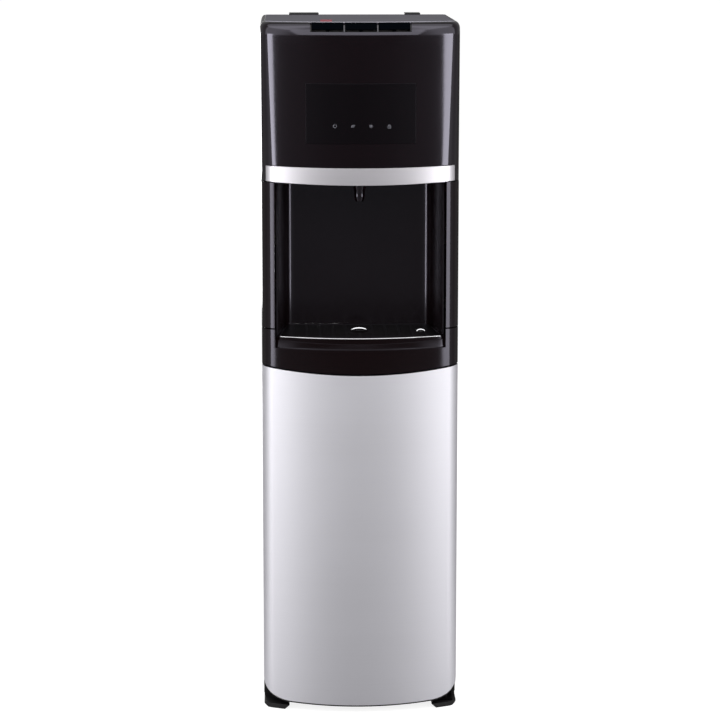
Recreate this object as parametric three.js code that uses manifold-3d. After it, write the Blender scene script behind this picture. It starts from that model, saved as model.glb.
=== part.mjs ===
// Bottom load water cooler, free standing. Millimetres, +Z up, the front faces -Y, and the origin
// is on the floor under the middle of the object.
import * as THREE from "three";
import { mergeVertices } from "three/addons/utils/BufferGeometryUtils.js";
import Module from "manifold-3d";

const wasm = await Module();
wasm.setup();

// ---- Driving dimensions ----------------------------------------------------------------------

// Overall
const width = 310;
const depth = 360; // front of the door to the back of the rear spacers
const frontRadius = 330; // plan curve of the door, belt, band and head
const cornerRadius = 30; // plan corner between that curve and the sides
const doorStandoff = 4.7; // from the closed door back to the side panels
const rearSpace = 20.7; // from the rear panel to the spacers' ends
const gap = 0.3; // between pieces that are fixed together
const running = 0.5; // between pieces that slide or lift

// Heights, at the middle of the front
const doorBottom = 12.5;
const beltBottom = 549;
const beltTall = 55;
const cheekTall = 12.5; // the belt's ends beside the niche, above its front
const nicheTall = 241;
const bandTall = 26.6;
const headTall = 223.4; // above the band, up to the top cover's face
const browTall = 21;

// Seams that rise towards the sides
const beltRise = 10.5;
const doorRise = 5;
const bandBottomRise = 4.5;
const bandTopRise = 1.9;

// Sheet and moulding walls
const sheet = 2;
const wall = 3;
const skinSheet = 1;

// Base and feet
const baseBottom = 14;
const floorHeight = 30;
const frontFootTop = 7.2;
const frontFootWide = 43;
const frontFootSet = 5; // back from the door's outline
const frontFootTaper = 8;
const frontFootLong = 120;
const rearFootRadius = 16;
const rearFootStem = 5;
const rearFootHeight = 9;
const rearFootIn = 35; // from the side
const rearFootAhead = 39.3; // from the rear panel

// Door
const hingeEdgeRadius = 18;
const doorSeam = 2.5; // gap between door and belt
const doorLip = 2; // liner that shows under the skin
const doorCornerWide = 42;
const doorCornerTall = 28;
const skinReturn = 8; // the skin's wrap behind the start of the corner
const doorRecessEdge = 30;
const doorRecessDeep = 42;
const doorRecessFoot = 37.5;
const doorRecessHead = 24;
const doorRecessCorner = 20;
const doorAngleEdge = 4;
const pinRadius = 4;
const pinLength = 14;
const hingePlate = 2.4;
const hingePlateHalf = 13;

// Deck over the bottle compartment, and the shelf over the compressor
const deckRise = 3; // above the belt's lower edge
const shelfClear = 31; // compressor's mounts and the air over it

// Niche, tray and grille
const nicheDraw = 13; // each side draws in this much towards the back
const bayDeep = 169.3; // from the niche's back to the rear panel
const linerSet = 47; // liner's front edge from the door's front
const nicheCorner = 16;
const nicheWall = 2.5;
const ceilingRise = 2; // above the band's lower edge
const ceilingSheet = 3;
const postWide = 21;
const linerSide = 3; // from a post to the niche
const beltBevelDeep = 8;
const beltBevelTall = 17;
const wellInset = 11;
const wellDeep = 21;
const trayWall = 2;
const trayDrop = 0.6; // the tray's rim below the belt's
const grilleThick = 2.5;
const grilleDrop = 0.4; // the grille's face below the tray's rim
const slotLong = 17;
const slotWide = 3;
const slotPitchX = 21;
const slotPitchY = 8;
const slotColumns = 10;
const slotRows = 14;
const domeRadius = 15;
const domeHeight = 2.4;
const domeBack = 95;
const floatX = 98;
const floatBack = 88;
const floatRadius = 6;
const floatRise = 2.2;
const nozzleRadius = 10.5;
const nozzleTip = 7;
const nozzleDrop = 33; // below the band's lower edge
const nozzleBack = 85;
const outletRadius = 2.6;

// Head, band, window
const headCornerTop = 24;
const headCornerBottom = 38;
const browDeep = 16;
const sideRound = 7;
const sideRoundTall = 10;
const bandEnd = 7.5; // black left at each end of the band
const bandThick = 3;
const windowHalf = 85;
const windowRise = 37.9; // above the band
const windowTall = 92.5;
const windowThick = 2;
const windowLedge = 4;
const iconRise = 27.5; // above the window's lower edge
const iconX = [-40.3, -12.5, 15.4, 43.6];
const boardEdge = 7; // board past the window
const boardSheet = 1.6;
const boardBack = 20;
const bossGap = 1; // from the window's edge
const bossRadius = 3.5;

// Buttons and child lock
const keyBankHalf = 78;
const keyPocketDeep = 14.4;
const keyTall = 11;
const dividerWide = 2;
const bezelDeep = 31;
const bezelFloor = 3;
const bezelWall = 1.6;
const stemRadius = 4;
const stemSet = 10; // stem's middle behind the brow's foot
const keyTravel = 3;
const switchBoardDrop = 45; // below the top cover's face
const switchHalf = 6;
const lockX = -53;
const lockBack = 28;
const lockWide = 18;
const lockLong = 9;
const lockTall = 3.4;
const lockNeckWide = 10;
const lockNeckLong = 5;
const lockTravel = 6;

// Top cover and rear spacers
const coverSheet = 2.8;
const coverFlange = 20;
const spacerRise = 3;
const spacerTall = 68;
const leftSpacer = [-109, -60];
const rightSpacer = [82, 108];

// Rear: condenser, vents, switches, drain, cord gland
const coilRuns = 10;
const coilPitch = 50;
const coilRise = 8; // highest run above the deck
const coilEdge = 30;
const coilTube = 2.5;
const coilOut = 10.7; // behind the rear panel
const railIn = 38; // from the coil's end
const railWide = 12;
const ventRows = 8;
const ventPitch = 14;
const ventHalf = 45;
const ventTall = 5;
const ventRise = 58; // above the deck
const ventX = [-70, 30];
const switchIn = 35; // from the side
const switchPitch = 28;
const switchDrop = 22; // below the spacers
const rockerWide = 18;
const rockerTall = 25;
const rockerTilt = 8;
const rockerBack = 6;
const rockerOut = 3.5;
const rockerDish = 1.5;
const rockerPivotIn = 0.8;
const cellTall = 29;
const switchFlange = 4;
const drainIn = 37;
const drainRise = 60;
const drainRadius = 7;
const capRadius = 13;
const capDeep = 13;
const glandIn = 30;
const glandZ = 60;
const glandRadius = 7;

// Machine bay
const foamClear = 8.4; // foam to the rear panel and to the niche
const coldIn = 85; // from the left side
const foamWall = 18;
const foamTall = 200;
const tankWall = 2;
const hotIn = 77;
const hotAhead = 30; // of the foam's middle
const hotRadius = 44;
const hotTall = 165;
const hotNeck = 6;
const compressorIn = 110;
const compressorRadius = 62;
const compressorTall = 150;
const pumpIn = 43;
const pumpAhead = 47.3;
const pumpRadius = 24;
const pumpTall = 62;
const probeIn = 21;
const probeAhead = 41.3;
const collarRadius = 17;
const collarDrop = 74; // below the deck
const collarTall = 20;
const probeRadius = 5;
const probeBottom = 120;
const hoseRadius = 5;
const lineRadius = 4;
const valveX = [34, 0, -34];
const valveWide = 26;
const valveDeep = 34;
const valveTall = 24;
const valveBack = 37; // behind the outlet
const coilCanRadius = 9;

// ---- Worked out from the above ---------------------------------------------------------------

const half = width / 2;
const frontY = -depth / 2;
const backY = depth / 2 - rearSpace; // outer face of the rear panel
const curveY = frontY + frontRadius;
const cornerX = half - cornerRadius;
const cornerY = curveY - Math.sqrt((frontRadius - cornerRadius) ** 2 - cornerX ** 2);
const panelInner = half - sheet;
const rearInner = backY - sheet;

const beltTop = beltBottom + beltTall;
const cheekTop = beltTop + cheekTall;
const bandBottom = beltTop + nicheTall;
const bandTop = bandBottom + bandTall;
const topHeight = bandTop + headTall; // upper face of the top cover
const far = 2 * topHeight; // longer than anything that a cut has to pass
const browBottom = topHeight - browTall;
const coverBottom = topHeight - coverSheet;
const deckZ = beltBottom + deckRise;
const shelfZ = deckZ + compressorTall + shelfClear;

const frontFootOuter = half - frontFootSet - 1;
const frontFootInner = frontFootOuter - frontFootWide;
const frontFootBack = frontY + frontFootLong;
const rearFootX = half - rearFootIn;
const rearFootY = backY - rearFootAhead;

const hingeX = half - hingeEdgeRadius;
const hingeY = cornerY;
const doorBackY = hingeY + hingeEdgeRadius;
const seamY = doorBackY + doorStandoff; // where the front mouldings meet the side panels
const doorRecessHalf = half - doorRecessEdge;
const doorRecessBottom = doorBottom + doorRecessFoot;
const doorRecessTop = beltBottom - doorRecessHead;

const postInner = half - postWide;
const nicheFrontHalf = postInner - linerSide;
const nicheBackHalf = nicheFrontHalf - nicheDraw;
const nicheBackY = backY - bayDeep;
const nicheFrontY = frontY + linerSet;
const nicheCeiling = bandBottom + ceilingRise;
const wellFloor = beltTop - wellDeep;
const trayRim = beltTop - trayDrop;
const domeY = frontY + domeBack;
const floatY = frontY + floatBack;
const nozzleY = frontY + nozzleBack;
const nozzleBottom = bandBottom - nozzleDrop;

const bandHalf = half - bandEnd;
const windowBottom = bandTop + windowRise;
const windowTop = windowBottom + windowTall;
const iconHeight = windowBottom + iconRise;
const boardHalf = windowHalf + boardEdge;
const boardY = frontY + boardBack;
const bossX = windowHalf + bossGap + bossRadius;

const keyFloor = topHeight - keyPocketDeep;
const keyBottom = topHeight - keyTall;
const bezelBottom = topHeight - bezelDeep;
const switchBoardZ = topHeight - switchBoardDrop;
const lockY = frontY + lockBack;
const spacerTop = topHeight + spacerRise;
const spacerBottom = spacerTop - spacerTall;

const coilHalf = half - coilEdge;
const coilBottom = deckZ + coilRise - (coilRuns - 1) * coilPitch;
const coilY = backY + coilOut;
const railX = coilHalf - railIn;
const ventBottom = deckZ + ventRise;
const switchX = [-half + switchIn, -half + switchIn + switchPitch];
const switchZ = spacerBottom - switchDrop;
const rockerPivotY = backY - rockerPivotIn;
const drainX = half - drainIn;
const drainZ = deckZ + drainRise;
const glandX = half - glandIn;

const foamRadius = (bayDeep - sheet - nicheWall) / 2 - foamClear;
const bayY = rearInner - foamClear - foamRadius;
const coldX = -half + coldIn;
const hotX = half - hotIn;
const hotY = bayY - hotAhead;
const compressorX = half - compressorIn;
const pumpX = -half + pumpIn;
const pumpY = backY - pumpAhead;
const probeX = -half + probeIn;
const probeY = backY - probeAhead;
const collarBottom = deckZ - collarDrop;
const valveY = nozzleY + valveBack;

// ---- Colours ---------------------------------------------------------------------------------

function paint(color, roughness, metalness = 0) {
  return new THREE.MeshStandardMaterial({ color, roughness, metalness });
}
const glossBlack = paint(0x17141a, 0.15);
const satinBlack = paint(0x1c1a1e, 0.5);
const matteBlack = paint(0x141315, 0.75);
const coverGrey = paint(0x75747a, 0.4);
const dividerGrey = paint(0x8a8a90, 0.4);
const steel = paint(0xc2c0c8, 0.3, 1);
const zinc = paint(0xb5b7b9, 0.45, 1);
const lockRed = paint(0xb01822, 0.35);
const smoked = paint(0x0a090b, 0.08);
const boardGreen = paint(0x1d5a36, 0.5);
const foamWhite = paint(0xe6e3da, 0.9);
const copper = paint(0xb4693c, 0.35, 1);
const nylonWhite = paint(0xe9e9e6, 0.5);
const hoseClear = paint(0xd6dadb, 0.3);
const compressorBlack = paint(0x202022, 0.45);

// ---- Solids ----------------------------------------------------------------------------------

function toSolid(geometry) {
  const bare = geometry.clone();
  bare.deleteAttribute("normal");
  bare.deleteAttribute("uv");
  const merged = mergeVertices(bare, 1e-4);
  const vertProperties = new Float32Array(merged.attributes.position.array);
  const triVerts = new Uint32Array(merged.index.array);
  return new wasm.Manifold(new wasm.Mesh({ numProp: 3, vertProperties, triVerts }));
}

function toGeometry(solid) {
  const { vertProperties, triVerts } = solid.getMesh();
  const geometry = new THREE.BufferGeometry();
  geometry.setAttribute("position", new THREE.BufferAttribute(vertProperties, 3));
  geometry.setIndex(new THREE.BufferAttribute(triVerts, 1));
  geometry.computeVertexNormals();
  return geometry;
}

function join(first, ...others) {
  return others.reduce((whole, other) => whole.add(other), first);
}

function cut(first, ...others) {
  return others.reduce((whole, other) => whole.subtract(other), first);
}

function block([x0, x1], [y0, y1], [z0, z1]) {
  const geometry = new THREE.BoxGeometry(x1 - x0, y1 - y0, z1 - z0);
  geometry.translate((x0 + x1) / 2, (y0 + y1) / 2, (z0 + z1) / 2);
  return toSolid(geometry);
}

// An upright prism over a plan outline.
function prism(points, z0, z1) {
  const shape = new THREE.Shape(points);
  const geometry = new THREE.ExtrudeGeometry(shape, { depth: z1 - z0, bevelEnabled: false });
  geometry.translate(0, 0, z0);
  return toSolid(geometry);
}

// A prism along Y over an outline drawn in X and Z, as seen from the front.
function elevation(points, y0, y1) {
  const shape = new THREE.Shape(points);
  const geometry = new THREE.ExtrudeGeometry(shape, { depth: y1 - y0, bevelEnabled: false });
  geometry.rotateX(Math.PI / 2);
  geometry.translate(0, y1, 0);
  return toSolid(geometry);
}

// A prism along X over an outline drawn in Y and Z, as seen from the side.
function sideways(points, x0, x1) {
  const shape = new THREE.Shape(points);
  const geometry = new THREE.ExtrudeGeometry(shape, { depth: x1 - x0, bevelEnabled: false });
  geometry.rotateX(Math.PI / 2);
  geometry.rotateZ(Math.PI / 2);
  geometry.translate(x0, 0, 0);
  return toSolid(geometry);
}

function rod(radius, z0, z1, x = 0, y = 0, sides = 20) {
  const geometry = new THREE.CylinderGeometry(radius, radius, z1 - z0, sides);
  geometry.rotateX(Math.PI / 2);
  geometry.translate(x, y, (z0 + z1) / 2);
  return toSolid(geometry);
}

function rodAlongY(radius, y0, y1, x, z, sides = 20) {
  const geometry = new THREE.CylinderGeometry(radius, radius, y1 - y0, sides);
  geometry.translate(x, (y0 + y1) / 2, z);
  return toSolid(geometry);
}

// A turned piece: the profile is [radius, height] pairs from the axis round to the axis.
function turned(profile, x, y, sides = 32) {
  const geometry = new THREE.LatheGeometry(profile.map(([r, z]) => new THREE.Vector2(r, z)), sides);
  geometry.rotateX(Math.PI / 2);
  geometry.translate(x, y, 0);
  return toSolid(geometry);
}

// A tube that follows a smooth curve through a few points.
function tube(points, radius, steps, sides = 5) {
  const path = new THREE.CatmullRomCurve3(points.map((p) => new THREE.Vector3(...p)), false, "centripetal");
  const section = new THREE.Shape();
  section.absarc(0, 0, radius, 0, 2 * Math.PI);
  const settings = { extrudePath: path, steps, curveSegments: sides, bevelEnabled: false };
  return toSolid(new THREE.ExtrudeGeometry(section, settings));
}

// A skin through a stack of plan outlines with equal counts of points, closed at both ends.
function loft(levels) {
  const count = levels[0].points.length;
  const positions = [];
  const index = [];
  for (const { z, points } of levels) {
    for (const point of points) positions.push(point.x, point.y, z);
  }
  for (let level = 0; level + 1 < levels.length; level += 1) {
    for (let i = 0; i < count; i += 1) {
      const a = level * count + i;
      const b = level * count + ((i + 1) % count);
      index.push(a, b, b + count, a, b + count, a + count);
    }
  }
  const last = (levels.length - 1) * count;
  const bottom = THREE.ShapeUtils.triangulateShape(levels[0].points, []);
  const top = THREE.ShapeUtils.triangulateShape(levels[levels.length - 1].points, []);
  for (const [a, b, c] of bottom) index.push(a, c, b);
  for (const [a, b, c] of top) index.push(last + a, last + b, last + c);
  const geometry = new THREE.BufferGeometry();
  geometry.setAttribute("position", new THREE.Float32BufferAttribute(positions, 3));
  geometry.setIndex(index);
  return toSolid(geometry);
}

// ---- Outlines --------------------------------------------------------------------------------

function arc(x, y, radius, from, to, steps) {
  const points = [];
  for (let i = 0; i <= steps; i += 1) {
    const angle = from + ((to - from) * i) / steps;
    points.push(new THREE.Vector2(x + radius * Math.cos(angle), y + radius * Math.sin(angle)));
  }
  return points;
}

// The curved front in plan, from the left side round to the right side.
function frontCurve({ inset = 0, corner = cornerRadius, front = frontY, side = half } = {}) {
  const centreX = side - corner;
  const centreY = front + frontRadius;
  const reach = frontRadius - corner;
  const turnY = centreY - Math.sqrt(reach ** 2 - centreX ** 2);
  const spread = Math.asin(centreX / reach);
  const bow = frontRadius - inset;
  const small = corner - inset;
  const south = -Math.PI / 2;
  return [
    ...arc(-centreX, turnY, small, -Math.PI, south - spread, 7),
    ...arc(0, centreY, bow, south - spread, south + spread, 18).slice(1),
    ...arc(centreX, turnY, small, south + spread, 0, 7).slice(1),
  ];
}

function plan(back, options = {}) {
  const { inset = 0, side = half } = options;
  const corners = [new THREE.Vector2(side - inset, back), new THREE.Vector2(-side + inset, back)];
  return [...frontCurve(options), ...corners];
}

// A seam seen from the front: its height rises towards the sides as a square law.
function seam(height, rise, reach = half) {
  const steps = 18;
  const points = [];
  for (let i = 0; i <= steps; i += 1) {
    const x = -reach + (2 * reach * i) / steps;
    points.push(new THREE.Vector2(x, height + rise * (x / half) ** 2));
  }
  return points;
}

function between(lower, upper) {
  return [...lower, ...upper.slice().reverse()];
}

function roundedRectangle(x0, x1, y0, y1, r) {
  return [
    ...arc(x1 - r, y0 + r, r, -Math.PI / 2, 0, 5),
    ...arc(x1 - r, y1 - r, r, 0, Math.PI / 2, 5),
    ...arc(x0 + r, y1 - r, r, Math.PI / 2, Math.PI, 5),
    ...arc(x0 + r, y0 + r, r, Math.PI, 1.5 * Math.PI, 5),
  ];
}

// The niche in plan: sides that draw in towards a back with rounded corners, open to the front.
function nichePlan(inset, front) {
  const draw = Math.atan2(nicheFrontHalf - nicheBackHalf, nicheBackY - nicheFrontY);
  const radius = nicheCorner - inset;
  const x = nicheBackHalf - nicheCorner;
  const y = nicheBackY - nicheCorner;
  const right = arc(x, y, radius, -draw, Math.PI / 2, 6);
  const left = arc(-x, y, radius, Math.PI / 2, Math.PI + draw, 6);
  const run = (y - front) * Math.tan(draw);
  const reach = x + radius / Math.cos(draw) + run;
  return [new THREE.Vector2(reach, front), ...right, ...left, new THREE.Vector2(-reach, front)];
}

// ---- The object ------------------------------------------------------------------------------

const object = new THREE.Group();

function add(name, solid, material) {
  const mesh = new THREE.Mesh(toGeometry(solid), material);
  mesh.name = name;
  object.add(mesh);
}

// Base: a moulded plate with the two front feet under its front edge.
function frontFoot(side) {
  const outer = frontFootOuter;
  const low = outer + 1 - frontFootTaper;
  const outline = [
    new THREE.Vector2(side * frontFootInner, frontFootTop),
    new THREE.Vector2(side * (frontFootInner + frontFootTaper), 0),
    new THREE.Vector2(side * low, 0),
    new THREE.Vector2(side * outer, frontFootTop / 2),
    new THREE.Vector2(side * outer, frontFootTop),
  ];
  const toe = elevation(outline, frontY, frontFootBack)
    .intersect(prism(plan(frontFootBack, { inset: frontFootSet }), -1, frontFootTop));
  const xs = [side * frontFootInner, side * outer].sort((a, b) => a - b);
  const heel = block(xs, [seamY + 1, frontFootBack], [frontFootTop - 1, baseBottom + 1]);
  return join(toe, heel);
}
const basePlate = block([-panelInner + gap, panelInner - gap], [seamY, rearInner - gap], [baseBottom, floorHeight]);
const rearBosses = [-1, 1].map((side) => rod(rearFootStem + gap, baseBottom - 1, floorHeight - wall,
  side * rearFootX, rearFootY));
add("base_plinth", cut(join(basePlate, frontFoot(-1), frontFoot(1)), ...rearBosses), satinBlack);

// Rear feet: turned rubber pads on stems that stand in the base.
for (const [name, side] of [["rear_foot_left", -1], ["rear_foot_right", 1]]) {
  const top = floorHeight - wall - gap;
  const profile = [
    [0, 0], [rearFootRadius - 2, 0], [rearFootRadius, 2], [rearFootRadius - 2, rearFootHeight],
    [rearFootStem, rearFootHeight], [rearFootStem, top], [0, top],
  ];
  add(name, turned(profile, side * rearFootX, rearFootY, 24), matteBlack);
}

// Side panels: painted sheet with the rounded top edge that carries on from the head cover.
function sideProfile(side, inset) {
  const points = [];
  const steps = 6;
  for (let i = 0; i <= steps; i += 1) {
    const angle = (Math.PI / 2) * (i / steps);
    const x = half - sideRound + (sideRound - inset) * Math.cos(angle);
    const z = topHeight - sideRoundTall + (sideRoundTall - inset) * Math.sin(angle);
    points.push(new THREE.Vector2(side * x, z));
  }
  return points;
}
for (const [name, side] of [["left_side_panel", -1], ["right_side_panel", 1]]) {
  const outline = [
    new THREE.Vector2(side * half, baseBottom - 2),
    ...sideProfile(side, 0),
    ...sideProfile(side, sheet).reverse(),
    new THREE.Vector2(side * panelInner, baseBottom - 2),
  ];
  add(name, elevation(outline, seamY + gap, backY), satinBlack);
}

// Rear panel: sheet with louvre slots for the machine bay and holes for what passes through it.
const switchMiddle = (switchX[0] + switchX[1]) / 2;
const switchHalfWide = (switchX[1] - switchX[0]) / 2 + rockerWide / 2 + wall;
const switchHole = [
  [switchMiddle - switchHalfWide - gap, switchMiddle + switchHalfWide + gap],
  [rearInner - 1, backY + 1],
  [switchZ - cellTall / 2 - wall - gap, switchZ + cellTall / 2 + wall + gap],
];
const louvres = [];
for (let row = 0; row < ventRows; row += 1) {
  const z = ventBottom + row * ventPitch;
  for (const x of ventX) {
    louvres.push(block([x - ventHalf, x + ventHalf], [rearInner - 1, backY + 1], [z, z + ventTall]));
  }
}
const rearSheet = block([-panelInner + gap, panelInner - gap], [rearInner, backY],
  [baseBottom, topHeight - sideRoundTall]);
add("rear_panel", cut(rearSheet, ...louvres, block(...switchHole),
  rodAlongY(drainRadius + gap, rearInner - 1, backY + 1, drainX, drainZ),
  rodAlongY(glandRadius + gap, rearInner - 1, backY + 1, glandX, glandZ)), satinBlack);

// Mid deck: the sheet shelf over the bottle compartment, with a hole for the suction hose.
const deckSheet = block([-panelInner + gap, panelInner - gap], [seamY + 3, rearInner - gap],
  [deckZ, deckZ + sheet]);
const hoseHole = rod(hoseRadius + 1, deckZ - 1, deckZ + sheet + 1, pumpX, pumpY);
add("mid_deck", cut(deckSheet, hoseHole), zinc);

// Drip tray belt: the gloss black moulding round the front between door and posts.
const nicheWellPlan = nichePlan(0, frontY - 10);
const beltBody = prism(plan(seamY), beltBottom - 1, cheekTop);
const wellBlock = prism(nichePlan(-nicheWall, seamY - 1), wellFloor - wall, beltTop);
const beltSeam = elevation(between(seam(beltBottom, beltRise), seam(cheekTop, 0)), frontY - 1, nicheBackY + 20);
const frontOpening = block([-postInner, postInner], [frontY - 1, nicheBackY + 1], [beltTop, cheekTop + 1]);
const well = prism(plan(nicheBackY + 30, { inset: wellInset }), wellFloor, far)
  .intersect(prism(nicheWellPlan, wellFloor, far));
const bevelLevels = [
  { z: beltTop - beltBevelTall, inset: 0 },
  { z: beltTop - beltBevelTall / 2, inset: beltBevelDeep * 0.36 },
  { z: beltTop + 1, inset: beltBevelDeep + 0.6 },
];
const bevelKeep = loft(bevelLevels.map(({ z, inset }) => ({ z, points: plan(seamY + 1, { inset }) })));
const bevelCut = cut(block([-postInner, postInner], [frontY - 1, seamY - 5],
  [beltTop - beltBevelTall + 0.1, cheekTop + 2]), bevelKeep);
const bracketPocket = block([hingeX - 18, half - wall], [hingeY - 16, seamY + 1],
  [beltBottom - 1, wellFloor - wall]);
add("tray_housing", cut(join(beltBody.intersect(beltSeam), wellBlock),
  frontOpening, well, bevelCut, bracketPocket), glossBlack);

// Drip tray: a shallow pan that drops into the belt's well.
const trayPlan = prism(plan(nicheBackY + 30, { inset: wellInset + running }), 0, far)
  .intersect(prism(nichePlan(running, frontY - 10), 0, far));
const trayHollow = prism(plan(nicheBackY + 30, { inset: wellInset + running + trayWall }), 0, far)
  .intersect(prism(nichePlan(running + trayWall, frontY - 10), 0, far));
function slice(solid, z0, z1) {
  return solid.intersect(block([-width, width], [-depth, depth], [z0, z1]));
}
const trayBottom = wellFloor + gap;
const grilleTop = trayRim - grilleDrop;
const grilleSeat = grilleTop - grilleThick;
const trayRibs = [-1, 1].map((side) => block([side * 60 - 1, side * 60 + 1],
  [nozzleY - 40, nicheBackY - 25], [trayBottom + trayWall - 0.1, grilleSeat - gap]));
const floatSocket = cut(rod(floatRadius + trayWall + 1, trayBottom + 1, grilleSeat - 6, floatX, floatY),
  rod(floatRadius + running, trayBottom + trayWall, far, floatX, floatY));
const trayPan = cut(slice(trayPlan, trayBottom, trayRim), slice(trayHollow, trayBottom + trayWall, far));
add("drip_tray", join(trayPan, ...trayRibs, floatSocket), glossBlack);

// Grille: a moulded plate with rows of slots, a raised dome under the nozzle and the float's hole.
const grillePlan = prism(plan(nicheBackY + 30, { inset: wellInset + running + trayWall + running }), 0, far)
  .intersect(prism(nichePlan(running + trayWall + running, frontY - 10), 0, far));
function nearRound(x, y) {
  const dome = Math.hypot(Math.max(Math.abs(x) - slotLong / 2, 0), y - domeY);
  const hole = Math.hypot(Math.max(Math.abs(x - floatX) - slotLong / 2, 0), y - floatY);
  return dome < domeRadius + 4 || hole < floatRadius + 5;
}
function insideGrille(x, y) {
  const reach = Math.abs(x) + slotLong / 2 + 4;
  const front = curveY - Math.sqrt((frontRadius - wellInset) ** 2 - reach ** 2) + 7;
  const sides = nicheBackHalf + ((nicheBackY - y) * (nicheFrontHalf - nicheBackHalf))
    / (nicheBackY - nicheFrontY);
  const corner = y > nicheBackY - nicheCorner - 4 ? nicheCorner / 2 : 0;
  return y - slotWide > front && reach + corner < sides - 3;
}
const slots = [];
for (let row = 0; row < slotRows; row += 1) {
  const y = nicheBackY - 14 - row * slotPitchY;
  for (let column = 0; column < slotColumns; column += 1) {
    const x = (column - (slotColumns - 1) / 2) * slotPitchX;
    if (insideGrille(x, y) && !nearRound(x, y)) {
      slots.push(block([x - slotLong / 2, x + slotLong / 2], [y - slotWide / 2, y + slotWide / 2],
        [grilleSeat - 1, grilleTop + 1]));
    }
  }
}
const domeProfile = [
  [0, grilleTop - 1], [domeRadius, grilleTop - 1], [domeRadius, grilleTop],
  [domeRadius * 0.85, grilleTop + domeHeight * 0.75], [domeRadius * 0.62, grilleTop + domeHeight],
  [domeRadius * 0.4, grilleTop + domeHeight * 0.7], [0, grilleTop + domeHeight * 0.5],
];
const floatHole = rod(floatRadius + running, grilleSeat - 1, grilleTop + 1, floatX, floatY);
const grilleSheet = slice(grillePlan, grilleSeat, grilleTop);
add("drip_grille", cut(join(grilleSheet, turned(domeProfile, 0, domeY, 28)), floatHole, ...slots), satinBlack);

// Overflow float: stands in its socket in the tray and shows through the grille.
const floatBottom = trayBottom + trayWall + gap;
const floatTop = grilleTop + floatRise;
const floatProfile = [
  [0, floatBottom], [floatRadius, floatBottom], [floatRadius, floatTop - 1.5],
  [floatRadius - 1.5, floatTop], [0, floatTop],
];
add("overflow_float", turned(floatProfile, floatX, floatY, 24), satinBlack);

// Niche liner: the gloss tub with a ceiling, and the flange behind the band that holds it.
const linerTub = cut(prism(nichePlan(-nicheWall, nicheFrontY), beltTop + gap, nicheCeiling + ceilingSheet),
  prism(nichePlan(0, nicheFrontY - 1), beltTop, nicheCeiling));
const ceilingPlan = plan(seamY, { inset: bandThick + gap, corner: headCornerBottom });
const ceiling = prism(ceilingPlan, nicheCeiling, nicheCeiling + ceilingSheet)
  .intersect(block([-postInner, postInner], [frontY, nicheFrontY + 20], [0, far]));
const flangePlan = plan(seamY, { inset: wall + gap, corner: headCornerBottom });
const flangeRing = cut(prism(flangePlan, nicheCeiling, bandTop - wall),
  prism(plan(0, { inset: wall + gap + nicheWall, corner: headCornerBottom }), 0, far));
const flange = flangeRing.intersect(block([-postInner, postInner], [frontY, nicheFrontY], [0, far]));
const nozzleHole = rod(nozzleRadius + gap, nicheCeiling - 1, nicheCeiling + ceilingSheet + 1, 0, nozzleY);
add("niche_liner", cut(join(linerTub, ceiling, flange), nozzleHole), glossBlack);

// Posts: the corner covers beside the niche.
const headBottom = nicheCeiling + 1;
for (const [name, side] of [["left_post", -1], ["right_post", 1]]) {
  const xs = [side * postInner, side * (half + 1)].sort((a, b) => a - b);
  const hollowXs = [side * (postInner + wall), side * (half + 1)].sort((a, b) => a - b);
  const zs = [cheekTop + gap, headBottom - gap];
  const shell = prism(plan(seamY), ...zs).intersect(block(xs, [frontY, seamY], zs));
  const hollow = prism(plan(seamY + 1, { inset: wall }), 0, far)
    .intersect(block(hollowXs, [frontY, seamY + 1], [0, far]));
  add(name, cut(shell, hollow), glossBlack);
}

// Nozzle: the turned shroud that hangs through the ceiling, round the two outlets.
const nozzleTop = nicheCeiling + ceilingSheet + 6;
const shroud = turned([
  [0, nozzleBottom + 4], [nozzleTip - 1.5, nozzleBottom + 4], [nozzleTip - 1.5, nozzleBottom],
  [nozzleTip, nozzleBottom], [nozzleRadius - 1, nozzleBottom + 9], [nozzleRadius, nozzleBottom + 13],
  [nozzleRadius, nozzleTop], [0, nozzleTop],
], 0, nozzleY, 28);
const collar = cut(rod(nozzleRadius + 5, nicheCeiling + ceilingSheet + gap, nozzleTop, 0, nozzleY, 28),
  rod(nozzleRadius - 1, 0, far, 0, nozzleY));
const outletBores = [-1, 1].map((side) => rod(outletRadius + gap / 2, 0, far, side * outletRadius * 1.3,
  nozzleY, 12));
add("nozzle", cut(join(shroud, collar), ...outletBores), glossBlack);

// Trim band: brushed steel strip across the head's lower edge.
const bandRing = cut(prism(plan(0, { corner: headCornerBottom }), bandBottom - 1, bandTop + 5),
  prism(plan(1, { inset: bandThick, corner: headCornerBottom }), 0, far));
function bandFront(grow) {
  const lower = seam(bandBottom - grow, bandBottomRise, bandHalf + grow);
  const upper = seam(bandTop + grow, bandTopRise, bandHalf + grow);
  return elevation(between(lower, upper), frontY - 1, seamY - 5);
}
add("trim_band", bandRing.intersect(bandFront(0)), steel);

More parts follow.
